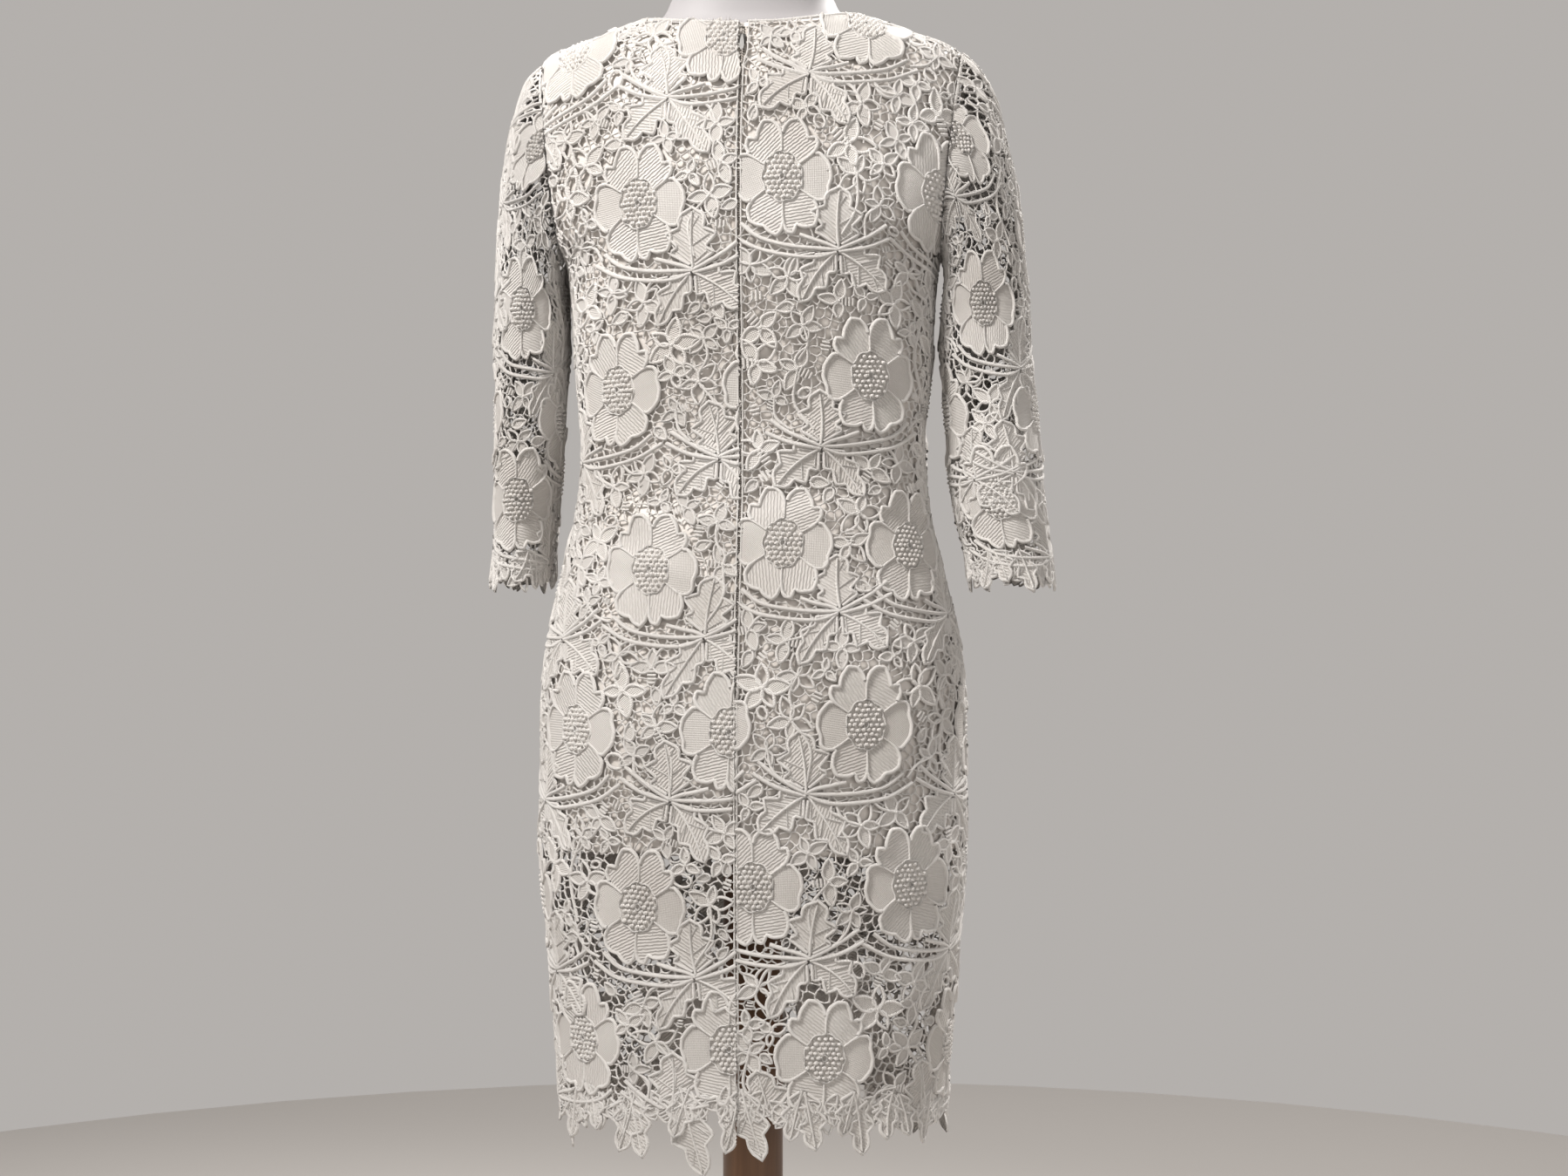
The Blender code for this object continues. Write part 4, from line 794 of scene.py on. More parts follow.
class Panel:
    """A cut piece of lace laid flat: x and y in millimetres, y up the cloth.

    Cells of a millimetre say where lace lies already and where the panel ends. What hangs past its cut
    edge is kept apart.
    """

    MARGIN = 70

    def __init__(self, name, loop, place, flip, seed):
        self.name, self.loop, self.place, self.flip = name, loop, place, flip
        self.random = np.random.default_rng(seed)
        self.low = loop.min(axis=0) - self.MARGIN
        self.size = np.ceil(loop.max(axis=0) + self.MARGIN - self.low).astype(int)
        self.taken = np.zeros((self.size[1], self.size[0]), bool)
        self.outside = ~self.cells_in(loop, 0, self.size[0], 0, self.size[1])
        self.ground, self.cords, self.knots = Bits(), Bits(), Bits()
        self.hung = [Bits(), Bits(), Bits()]

    def cells_in(self, outline, i0, i1, j0, j1):
        """Which cells of a block have their middles in an outline."""
        x, y = np.meshgrid(np.arange(i0, i1) + 0.5, np.arange(j0, j1) + 0.5)
        return inside(np.column_stack([x.ravel(), y.ravel()]) + self.low, outline).reshape(y.shape)

    def cell(self, points):
        """The row and column of the cell at each place."""
        i = np.clip((points[:, 0] - self.low[0]).astype(int), 0, self.size[0] - 1)
        j = np.clip((points[:, 1] - self.low[1]).astype(int), 0, self.size[1] - 1)
        return j, i

    def cover(self, outline, margin=0.6):
        """Marks the cells that an outline takes."""
        middle = outline.mean(axis=0)
        away = outline - middle
        far = np.maximum(np.linalg.norm(away, axis=1, keepdims=True), 1e-6)
        outline = middle + away * (1 + margin / far)
        i0, j0 = np.maximum(np.floor(outline.min(axis=0) - self.low).astype(int), 0)
        i1, j1 = np.minimum(np.ceil(outline.max(axis=0) - self.low).astype(int), self.size)
        if i1 > i0 and j1 > j0:
            self.taken[j0:j1, i0:i1] |= self.cells_in(outline, i0, i1, j0, j1)

    def stamp(self, motif, x, y, turn=0.0, scale=1.0, lift=0.0, flip=1, hung=False, squeeze=1.0):
        """Sets a motif on the panel: turned, sized, and mirrored where flip is -1."""
        flip = flip * self.flip

        def moved(p):
            return np.column_stack(rotated(p[:, 0], p[:, 1], turn)) * scale * (flip * squeeze, 1) + (x, y)

        slip = self.random.uniform(0, 400)
        targets = self.hung if hung else (self.ground, self.cords, self.knots)
        for bits, target in zip(motif.layers(), targets):
            at, thread, tri = bits.whole()
            if len(at):
                tri = tri if flip > 0 else tri[:, ::-1]
                target.add(np.column_stack([moved(at), at[:, 2] + lift]), thread + (slip, slip, 0), tri)
        for outline in motif.outlines:
            self.cover(moved(outline))

    def is_free(self, x, y, disc):
        """Whether a disc of cells about a place is clear of lace and inside the panel."""
        cells = self.cell(disc + (x, y))
        return not (self.taken[cells] | self.outside[cells]).any()

    def fill(self, choices, tries, free_radius, scale, squeeze_at, zone=None):
        """Sets blossoms and buds where there is room for them, perhaps in one part alone."""
        reach = np.arange(-int(free_radius), int(free_radius) + 1)
        i, j = np.meshgrid(reach, reach)
        disc = np.column_stack([i.ravel(), j.ravel()])
        disc = disc[np.hypot(disc[:, 0], disc[:, 1]) <= free_radius]
        low, high = zone or (self.loop.min(axis=0), self.loop.max(axis=0))
        places = self.random.uniform(low, high, (tries, 2))
        clear = ~(self.taken | self.outside)[self.cell(places)]
        for x, y in places[clear]:
            if self.is_free(x, y, disc):
                motif = choices[self.random.integers(len(choices))]
                size = self.random.uniform(*scale)
                lift = self.random.uniform(-0.1, 0.2)
                turn = self.random.uniform(0, TAU)
                self.stamp(motif, x, y, turn, size, lift, squeeze=squeeze_at(x, y))

    def stem(self, points, radius=1.4):
        """A smooth stem through points of the panel, thickest in the middle."""
        length = np.linalg.norm(np.diff(np.array(points), axis=0), axis=1).sum()
        line = through(points, max(5, int(length / 3.5)))
        cord(self.cords, line, radius * (1 - 0.25 * np.linspace(-1, 1, len(line)) ** 2), 0.2, 2.1)
        self.cover(strip(line, radius), 0)

    def net(self, spacing):
        """Fine bars in Y joints over all that the motifs leave open.

        Places near a honeycomb's are joined into triangles. The bars run between the middles of the
        circles round neighbouring triangles, so they are the edges of cells about the places.
        """
        low, high = self.loop.min(axis=0) - spacing, self.loop.max(axis=0) + spacing
        rows = int((high[1] - low[1]) / (spacing * 0.87)) + 2
        columns = int((high[0] - low[0]) / spacing) + 2
        places = [(i + 0.5 * (j % 2), 0.87 * j) for j in range(rows) for i in range(columns)]
        points = np.array(places) * spacing
        points += self.random.uniform(-0.36, 0.36, points.shape) * spacing + low
        corners, _, faces, _, _, _ = delaunay_2d_cdt([Vector(p) for p in points], [], [], 0, 1e-6)
        corners = np.array([tuple(p) for p in corners])
        faces = np.array([tuple(f) for f in faces])
        a, b, c = corners[faces[:, 0]], corners[faces[:, 1]], corners[faces[:, 2]]
        ab, ac = b - a, c - a
        twice = 2 * (ab[:, 0] * ac[:, 1] - ab[:, 1] * ac[:, 0])
        d, e = (ab**2).sum(1), (ac**2).sum(1)
        centre = np.column_stack([ac[:, 1] * d - ab[:, 1] * e, ab[:, 0] * e - ac[:, 0] * d])
        centre = a + centre / twice[:, None]
        middle = (a + b + c) / 3
        far = np.linalg.norm(centre - middle, axis=1, keepdims=True)
        centre = middle + (centre - middle) * np.minimum(1, 0.55 * spacing / np.maximum(far, 1e-9))
        sides = np.sort(np.vstack([faces[:, [0, 1]], faces[:, [1, 2]], faces[:, [2, 0]]]), axis=1)
        owner = np.tile(np.arange(len(faces)), 3)
        order = np.lexsort((sides[:, 1], sides[:, 0]))
        sides, owner = sides[order], owner[order]
        pair = np.flatnonzero((sides[1:] == sides[:-1]).all(axis=1))
        self.bars(centre[owner[pair]], centre[owner[pair + 1]])

    def bars(self, p, q):
        """Straight fine bars from p to q, thick at their ends, where either end lies in the open."""
        open_part = np.zeros(len(p))
        for u in (0.1, 0.3, 0.5, 0.7, 0.9):
            at = p + (q - p) * u
            open_part += ~(self.taken | self.outside)[self.cell(at)]
        keep = (open_part > 0.5) & (np.linalg.norm(q - p, axis=1) > 0.8)
        p, q = p[keep], q[keep]
        ahead = unit(q - p)
        across = np.column_stack([-ahead[:, 1], ahead[:, 0]])
        bow = self.random.uniform(-0.8, 0.8, (len(p), 1))
        at = np.empty((len(p), 3, 3, 3))
        for k, (u, wide) in enumerate(((0, 0.95), (0.5, 0.55), (1, 0.95))):
            middle = p + (q - p) * u + across * (bow * (u == 0.5))
            for n, (side, up) in enumerate(((1, 0.1), (0, 1.5), (-1, 0.1))):
                at[:, k, n, :2] = middle + across * side * wide
                at[:, k, n, 2] = up
        thread = np.zeros(at.shape)
        thread[..., 0] = np.linalg.norm(q - p, axis=1)[:, None, None] * np.array([0, 0.5, 1])[None, :, None]
        thread[..., 1] = np.array([0, 1, 2])[None, None]
        thread[..., 2] = CORDED
        tri = grid_triangles(3, 3)
        tri = tri[None] + np.arange(len(p))[:, None, None] * 9
        self.ground.add(at.reshape(-1, 3), thread.reshape(-1, 3), tri.reshape(-1, 3))


def add_object(name, mesh, material):
    """Puts a mesh with its material into the scene."""
    mesh.materials.append(material)
    obj = bpy.data.objects.new(name, mesh)
    bpy.context.scene.collection.objects.link(obj)
    return obj


def thread_object(name, points, triangles, thread, material):
    """A smooth mesh object from arrays, with the thread coordinates as an attribute."""
    mesh = bpy.data.meshes.new(name)
    mesh.vertices.add(len(points))
    mesh.vertices.foreach_set("co", np.ascontiguousarray(points, np.float32).ravel())
    mesh.loops.add(triangles.size)
    mesh.loops.foreach_set("vertex_index", np.ascontiguousarray(triangles, np.int32).ravel())
    mesh.polygons.add(len(triangles))
    mesh.polygons.foreach_set("loop_start", np.arange(0, triangles.size, 3, dtype=np.int32))
    mesh.update(calc_edges=True)
    layer = mesh.attributes.new("thread", "FLOAT_VECTOR", "POINT")
    layer.data.foreach_set("vector", np.ascontiguousarray(thread, np.float32).ravel())
    mesh.shade_smooth()
    return add_object(name, mesh, material)


def thicken(obj, offset):
    """Gives a sheet its thickness, about its middle at 0 and outwards at 1."""
    thick = obj.modifiers.new("Thickness", "SOLIDIFY")
    thick.thickness, thick.offset = CLOTH_THICKNESS, offset


def trimmed(bits, loop):
    """The bits whose triangles lie in an outline, with unused corners dropped."""
    at, thread, tri = bits.whole()
    if not len(tri):
        return at, thread, tri
    tri = tri[inside(at[tri].mean(axis=1)[:, :2], loop)]
    used, tri = np.unique(tri, return_inverse=True)
    return at[used], thread[used], tri.reshape(-1, 3)


class Sleeve:
    """One sleeve's base surface, as rings of points from the armhole down to the cuff.

    u is the share of the way round from the top over the back. The flat pattern is as wide as the sleeve
    is round and as long as it is down from the armhole, with its upper-arm line level.
    """

    ROUND = 96
    HEAD_ROWS = 30  # rings from the armhole down to the upper-arm line
    LENGTH_STEP = 0.002
    COLUMNS = np.arange(ROUND + 1) / ROUND

    def __init__(self, table, hand):
        self.hand = hand
        start, self.in_plane = self.armhole(self.COLUMNS)
        turn = TAU * self.COLUMNS

        def ring(z):
            size = {c: curve_through(z, table, c) for c in Cuff._fields[1:]}
            x = size["centre_x"] + (size["half_width"] - SLEEVE_OUT) * np.cos(turn)
            y = size["centre_y"] + (size["half_depth"] - SLEEVE_OUT) * np.sin(turn)
            return np.column_stack([x, y, np.full(len(turn), z)])

        top = table[0].z * MM
        end = ring(top)
        chord = np.linalg.norm(end - start, axis=1)[:, None]
        height = (1 + np.cos(turn)) / 2
        leave = np.column_stack([0.30 + 0.16 * height, 0.10 * np.sin(turn), -0.62 + 0.42 * height]) * chord
        arrive = np.column_stack([0.04 * height, 0 * turn, np.full(len(turn), -1.15)]) * chord
        shares = np.linspace(0, 1, self.HEAD_ROWS + 1)[:-1]
        rows = [hermite(h, start, leave, end, arrive) for h in shares]
        rows += [ring(z) for z in np.linspace(top, table[-1].z * MM, 31)]
        self.grid = np.array(rows)
        run = np.linalg.norm(np.diff(self.grid, axis=0), axis=2)
        self.length = np.vstack([np.zeros(self.grid.shape[1]), np.cumsum(run, axis=0)])
        joined = np.concatenate([self.grid[:, -2:-1], self.grid, self.grid[:, 1:2]], axis=1)
        around = np.gradient(joined, axis=1)[:, 1:-1]
        self.normals = unit(np.cross(np.gradient(self.grid, axis=0), around))
        lengths = np.arange(0, self.length.max() + 0.06, self.LENGTH_STEP)
        count = np.arange(len(self.grid))
        self.row_at = np.array([np.interp(lengths, column, count) for column in self.length.T]).T
        self.even_u = np.array([self.evened(row) for row in self.grid])
        self.cap = self.length[self.HEAD_ROWS]

    def evened(self, ring):
        """The u of places evenly spaced by length round a ring, its back and front halves each for itself."""
        length = length_along(ring)
        half = self.ROUND // 2
        under, whole = length[half], length[-1]
        back = length[: half + 1] / under / 2
        front = 0.5 + (length[half + 1 :] - under) / (whole - under) / 2
        return np.interp(self.COLUMNS, np.concatenate([back, front]), self.COLUMNS)

    def row_of(self, u, length):
        """The ring at a length down from the armhole and the column at u, neither a whole number."""
        column = np.clip(u * self.ROUND, 0, self.ROUND - 0.001)
        step = np.clip(length / self.LENGTH_STEP, 0, len(self.row_at) - 1.001)
        return np.clip(blend(self.row_at, step, column), 0, len(self.grid) - 1.001), column

    def unrolled(self, share, up):
        """u and the length down from the armhole, of places up from the pattern's upper-arm line."""
        share = share % 1
        down = np.clip(np.interp(share, self.COLUMNS, self.cap) - up, 0, None)
        u = blend(self.even_u, *self.row_of(share, down))
        return u, np.interp(u, self.COLUMNS, self.cap) - up

    @staticmethod
    def armhole(u):
        """Points on the armhole's plane that carry on the body's lace, and their way out in that plane."""
        lines, ways = [], []
        for skin in (BACK, FRONT):
            s, z = arm_run(skin)
            st = np.column_stack(spread(s, skin.level(s, z), 61))
            p = skin.look_up(skin.points, st[:, 0], st[:, 1])
            n = skin.look_up(skin.normals, st[:, 0], st[:, 1])
            flat = n - np.outer(n @ ARM_NORMAL, ARM_NORMAL)
            away = flat / (np.linalg.norm(flat, axis=1, keepdims=True) ** 2)
            base = p + ARM_NORMAL * HALF_SEAM + away * LACE_IN
            lines.append(base[::-1] if skin is BACK else base)
            ways.append(away[::-1] if skin is BACK else away)
        line = np.vstack([lines[0], lines[1][1:]])
        way = np.vstack([ways[0], ways[1][1:]])
        half = len(lines[0]) - 1
        share = np.concatenate([np.linspace(0, 0.5, half + 1), np.linspace(0.5, 1, len(lines[1]))[1:]])
        at = np.column_stack([np.interp(u, share, line[:, i]) for i in range(3)])
        out = np.column_stack([np.interp(u, share, way[:, i]) for i in range(3)])
        return at, out

    def length_at(self, u, z):
        """How far down the cloth the height z is, for places below the sleeve's head."""
        below = slice(self.HEAD_ROWS, None)
        column = np.array([np.interp(u, self.COLUMNS, row) for row in self.length[below]])
        heights = np.array([np.interp(u, self.COLUMNS, row[:, 2]) for row in self.grid[below]])
        return float(np.interp(-z, -heights, column))

    def perimeter(self, length):
        """How far it is round the sleeve at a length down from the armhole."""
        row = int(np.interp(length, self.length[:, 0], np.arange(len(self.grid))))
        return np.linalg.norm(np.diff(self.grid[row], axis=0), axis=1).sum()

    def cloth(self):
        """How wide the sleeve's cloth is at its widest ring, and its area down to the cuff."""
        around = np.linalg.norm(np.diff(self.grid, axis=1), axis=2)
        down = np.linalg.norm(np.diff(self.grid, axis=0), axis=2)
        cell = 0.25 * (around[1:] + around[:-1]) * (down[:, 1:] + down[:, :-1])
        ends = self.length[1:] + self.length[:-1]
        at = 0.25 * (ends[:, 1:] + ends[:, :-1])
        limit = np.array([self.length_at(u, CUFF_Z) for u in self.COLUMNS[:-1]])
        return float(around.sum(axis=1).max()), float(cell[at < limit[None]].sum())

    def place(self, u, length, out):
        """Points off the sleeve's surface."""
        u = u % 1
        length = np.clip(length, 0, None)
        row, column = self.row_of(u, length)
        p, n = blend(self.grid, row, column), unit(blend(self.normals, row, column))
        edge = blend(np.stack([self.in_plane, self.in_plane]), 0 * row, column)
        near = np.clip(1 - length / ARMHOLE_BEND, 0, 1)[:, None]
        n = n * (1 - near) + edge * near
        p += n * np.reshape(out, (-1, 1))
        p = kept_beyond(p, 1)
        p[:, 0] *= self.hand
        return p


def wave(x, y, amount, phase):
    """The lace's slight standing off and settling, in metres, by place in metres, as two crossed ripples."""
    ripple = np.sin(TAU * x / 0.083 + phase) * np.sin(TAU * y / 0.117 + 1.7 * phase)
    ripple += 0.6 * np.sin(TAU * x / 0.041 - 2 * phase + 3 * y / 0.1) * np.sin(TAU * y / 0.063 + phase)
    return amount * ripple


def body_placer(skin, hand, hem_t, phase):
    """The function that lays a body panel's flat places on the skin, looser towards its hem."""

    def place(flat, height):
        st = flat * MM
        up = st[:, 1] - hem_t
        loose = np.clip((LOOSE_UP_TO - up) / LOOSE_UP_TO, 0, 1.3)
        out = LACE_IN + height * MM + wave(st[:, 0], st[:, 1], 0.35 * MM + 0.75 * MM * loose, phase)
        flare = np.clip((FLARED_UP_TO - up) / FLARED_UP_TO, 0, 2.5) ** 2
        out = out + flare * 1.5 * MM * np.sin(TAU * st[:, 0] / 0.093 + 2.2 * phase)
        return skin.place(st, out, hand)

    return place


def sleeve_placer(sleeve, phase):
    """The function that lays a sleeve's flat places round it."""

    def place(flat, height):
        u, length = sleeve.unrolled(flat[:, 0] / ROUND_LENGTH, flat[:, 1] * MM)
        calm = np.clip(length / 0.03, 0, 1)
        out = height * MM + calm * wave(flat[:, 0] * MM, length, 0.6 * MM, phase)
        return sleeve.place(u, length, out)

    return place


# The lace's growth round one flower, in millimetres and degrees from the flower's middle: three leaves,
# the stems between them, and blossoms that each stand on a stem of their own
Leaf = namedtuple("Leaf", "x y turn length width teeth bend")
LEAVES = [
    Leaf(46, -56, 86, 46.2, 37.82, 3, 1.0),
    Leaf(44, -60, 234, 52.5, 24.4, 3, -2.0),
    Leaf(47, -60, -36, 46.2, 31.72, 3, 2.0),
]
STEMS = [
    [(-34, -38), (-18, -50), (6, -56), (30, -58), (46, -58)],
    [(-44, -46), (-22, -58), (4, -64), (28, -65), (44, -60)],
    [(14, -47), (26, -51), (38, -54), (46, -58)],
    [(86, -34), (72, -44), (58, -52), (46, -58)],
    [(90, -44), (70, -54), (46, -60)],
]
Spray = namedtuple("Spray", "x y radius from_x from_y")
SPRAYS = [
    Spray(4, -82, 16, 26, -62),
    Spray(-26, -72, 15, -4, -61),
    Spray(61, 4, 16, 48, -46),
    Spray(80, -20, 13, 68, -46),
    Spray(56, 40, 14, 60, 12),
    Spray(-60, -28, 14, -36, -44),
    Spray(-54, 56, 14, -60, -16),
]

# The motifs that every panel is set with, a few of each kind
library_random = np.random.default_rng(11)
FLOWERS = [make_flower(library_random) for _ in range(3)]
BLOSSOMS = [make_blossom(library_random, 4 + k % 2, 17.0, k % 3 == 0) for k in range(7)]
TREFOILS = [make_blossom(library_random, 3 + k % 2, 12.5) for k in range(5)]
BUDS = [make_single(library_random, 14 + k, 8.0 + 0.5 * k) for k in range(3)]
BUDS += [make_bars(library_random) for _ in range(2)]
LOOPS = [make_loop(library_random, 3.4 + 0.9 * k) for k in range(4)]

# The filling, largest first: what it chooses from, how often it tries, the clear radius and the size
FILLING = [
    (BLOSSOMS, 2500, 12.5, (1.05, 1.25)),
    (BLOSSOMS, 2500, 10, (0.85, 1.05)),
    (TREFOILS, 3500, 8, (0.92, 1.08)),
    (BUDS, 3500, 6.2, (0.85, 1.1)),
    (LOOPS, 1500, 5.4, (0.9, 1.2)),
]
DENSE_FILLING = [(BUDS, 1500, 4.6, (0.7, 0.9)), (LOOPS, 1500, 3.6, (0.6, 0.8))]
NET_SPACING = 8.0


def make_trio(random):
    """Three leaves on paired stems."""
    motif = Motif()
    for leaf in LEAVES:
        turn = math.radians(leaf.turn + random.uniform(-7, 7))
        size = random.uniform(0.92, 1.08)
        bend = leaf.bend * random.uniform(0.3, 2.0)
        curl = random.uniform(0.2, 1.6)
        foot = (leaf.x, leaf.y)
        make_leaf(motif, leaf.length * size, leaf.width * size, turn, leaf.teeth, foot, bend, curl)
    for points in STEMS:
        line = through(np.array(points) + random.uniform(-1, 1, (len(points), 2)) * 0.3, 16)
        cord(motif.cords, line, 1.85, 0.3, 2.4)
        motif.outlines.append(strip(line, 1.2))
    return motif


TRIOS = [make_trio(library_random) for _ in range(4)]


def no_squeeze(x, y):
    """The width of a motif on a panel that isn't narrower anywhere than its pattern."""
    return 1.0


def grow(panel, flowers, squeeze_at=no_squeeze, scale=1.0, dense_zone=None):
    """Sets the flowers, their leaves and blossoms, fills in between, and lays the net under all."""
    random = panel.random
    for x, y, mirror in flowers:
        flower = FLOWERS[random.integers(3)]
        turn = random.uniform(-0.05, 0.05)
        panel.stamp(flower, x, y, turn, scale, flip=mirror, squeeze=squeeze_at(x, y))
    for x, y, mirror in flowers:
        trio = TRIOS[random.integers(4)]
        turn = random.uniform(-0.06, 0.06)
        panel.stamp(trio, x, y, turn, scale, 0.15, mirror, squeeze=squeeze_at(x, y))
    small = np.array([(i, j) for i in range(-8, 9) for j in range(-8, 9) if i * i + j * j < 64])
    for x, y, mirror in flowers:
        squeeze = squeeze_at(x, y)
        side = mirror * panel.flip * squeeze
        for spray in SPRAYS:
            at = (x + side * spray.x * scale, y + spray.y * scale)
            if not panel.is_free(*at, small):
                continue
            foot = (x + side * spray.from_x * scale, y + spray.from_y * scale)
            blossom = BLOSSOMS[random.integers(7)]
            size = spray.radius / 16.0 * scale
            panel.stamp(blossom, *at, random.uniform(0, TAU), size, 0.0, mirror, squeeze=squeeze)
            bend = random.uniform(0.1, 0.25) * (1 if random.uniform() < 0.5 else -1)
            along, up = at[0] - foot[0], at[1] - foot[1]
            half_way = ((foot[0] + at[0]) / 2 - bend * up, (foot[1] + at[1]) / 2 + bend * along)
            panel.stem([foot, half_way, at])
    for choices, tries, clear, sizes in FILLING:
        panel.fill(choices, tries, clear, sizes, squeeze_at)
    if dense_zone:
        for choices, tries, clear, sizes in DENSE_FILLING:
            panel.fill(choices, tries, clear, sizes, squeeze_at, dense_zone)
    panel.net(NET_SPACING)


# Millimetres on the flat panels
POLE_ZONE_HALF_WIDTH, POLE_ZONE_HEIGHT = 50, 230
TIP_OVERLAP = 18  # how far a hanging leaf's foot is over the cut edge
HANGS_BELOW_HEM, HANGS_BELOW_CUFF = 75, 45  # where what hangs is cut off at the latest
CUFF_DROP = 35  # how far the cuff's leaves hang, as its sheet says


def hem_leaves(panel, edge, tips):
    """Blossoms, petals and leaves that hang below a cut edge. Tips are (x, drop under it, width, lean)."""
    random = panel.random

    def edge_at(x):
        return float(np.interp(x, edge[:, 0], edge[:, 1]))

    x, end = panel.loop[:, 0].min() + 10, panel.loop[:, 0].max() - 8
    while x < end:
        y = edge_at(x) + random.uniform(-3, 5)
        blossom = BLOSSOMS[random.integers(7)]
        panel.stamp(blossom, x, y, random.uniform(0, TAU), 0.92, 0.1, hung=True)
        x += random.uniform(24, 33)
    x = panel.loop[:, 0].min() + 4
    while x < end + 4:
        motif = Motif()
        length = random.uniform(15, 23)
        turn = random.uniform(-0.6, 0.6) - math.pi / 2
        make_petal(motif, length, length * 0.62, turn, pointed=random.uniform(0.8, 1.2))
        panel.stamp(motif, x, edge_at(x) + 8, lift=0.1, hung=True)
        x += random.uniform(9, 15)
    for x, drop, width, lean in tips:
        motif = Motif()
        length = (drop + TIP_OVERLAP) / math.cos(math.radians(lean))
        turn = math.radians(lean - 90)
        make_leaf(motif, length, width, turn, curl=random.uniform(0.5, 3.0), bend=random.uniform(-2, 2))
        foot_x = x - panel.flip * math.cos(turn) * length
        panel.stamp(motif, foot_x, edge_at(x) + TIP_OVERLAP, lift=0.4, hung=True)


def panel_pieces(panel, long_loop, material, nodes, flat=None, area=None):
    """Lays a finished flat panel on the body as three pieces: its ground, cords and knots."""
    layers = zip(("ground", "cords", "knots"), (panel.ground, panel.cords, panel.knots), panel.hung)
    for word, bits, hung in layers:
        at, thread, tri = trimmed(bits, panel.loop)
        more, more_thread, more_tri = trimmed(hung, long_loop)
        tri = np.vstack([tri, more_tri + len(at)])
        at, thread = np.vstack([at, more]), np.vstack([thread, more_thread])
        a, b, c = (at[tri[:, k]] for k in range(3))
        turned = np.cross(b - a, c - a)[:, 2] * panel.flip < 0
        tri[turned] = tri[turned][:, ::-1]
        points = panel.place(at[:, :2], at[:, 2])
        obj = thread_object(f"{panel.name}_{word}", points, tri, thread, material)
        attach(obj, BODY_NAME)
    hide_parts(*nodes)
    if flat is None:
        size = (long_loop.max(axis=0) - long_loop.min(axis=0)) * MM
        flat, area = (float(size[0]), float(size[1])), area_of(panel.loop * MM)


def flower_places(skin, heights, sides, both=False):
    """Where a body panel's flowers sit, each with the way that its growth is mirrored."""
    found = []
    for number, row in enumerate(ROWS):
        mirror = 1 if number % 2 else -1
        y = float(skin.level(0.03, getattr(row, heights) * MM)) / MM
        for s in getattr(row, sides):
            found.append((s, y, mirror))
            if both and s:
                found.append((-s, y, mirror))
    return found


def lowered(loop, count, drop):
    """The outline with its first points, the hem, let down."""
    longer = loop.copy()
    longer[:count, 1] -= drop
    return longer


def pole_zone(hem):
    """The part of a body panel before the pole, which is filled more densely: its low and high corners."""
    low = hem[:, 1].min()
    return (-POLE_ZONE_HALF_WIDTH, low), (POLE_ZONE_HALF_WIDTH, low + POLE_ZONE_HEIGHT)


# The back hem's hanging leaves: x from the zip, drop, width and lean
BACK_TIPS = {
    "left": [
        (157, 27, 21, -12), (124, 18, 20, 14), (99, 34, 27, -16), (78, 38, 22, 12), (52, 22, 22, -18),
        (29, 55, 33, 14), (9, 34, 20, -12),
    ],
    "right": [
        (20, 39, 26, 16), (43, 22, 20, -14), (63, 29, 24, 10), (86, 18, 20, -15), (102, 33, 22, 8),
        (122, 19, 18, -10), (141, 16, 18, 12), (160, 24, 22, -14),
    ],
}


def make_back_lace(material):
    """The two back panels, cut apart down the middle for the zip."""
    for hand, word, phase, seed in ((1, "left", 0.9, 21), (-1, "right", 2.3, 22)):
        edges = panel_edges(BACK, HEM_Z, HEM_RISE_AT_BACK, slit)
        loop = np.vstack([edges[k] for k in ("hem", "side", "arm", "shoulder", "neck", "middle")]) / MM
        hem = edges["hem"] / MM
        place = body_placer(BACK, hand, float(hem[:, 1].mean()) * MM, phase)
        panel = Panel(f"lace_{word}_back", loop, place, -hand, seed)
        grow(panel, flower_places(BACK, f"z_{word}", word), dense_zone=pole_zone(hem))
        hem_leaves(panel, hem, BACK_TIPS[word])
        edge_cords(panel, edges)
        longer = lowered(loop, len(hem), HANGS_BELOW_HEM)
        panel_pieces(panel, longer, material, [f"lace_back_{word}"])


# The rolled cords on a panel's cut edges: radius and rise
EDGE_CORDS = {"side": (0.9, 1.3), "arm": (1.0, 1.7), "neck": (1.1, 1.9), "middle": (0.8, 1.5)}


def edge_cords(panel, edges, sides=(1,)):
    """Fine rolled cords along a panel's cut edges, a little inside them. A whole front has two sides."""
    for name, (radius, rise) in EDGE_CORDS.items():
        if name == "middle" and len(sides) == 2:
            continue
        line = edges[name] / MM
        line = line + to_the_left(line) * (radius + 0.25)
        for side in sides:
            cord(panel.cords, line * (side, 1), radius, 0.0, rise)


def whole_front(edges):
    """The front's outline from its half, hem first, and its hem."""
    hem = np.vstack([edges["hem"][::-1] * (-1, 1), edges["hem"][1:]])
    up = np.vstack([edges[k] for k in ("side", "arm", "shoulder", "neck")])
    return np.vstack([hem, up, (up * (-1, 1))[::-1][1:]]) / MM, hem / MM


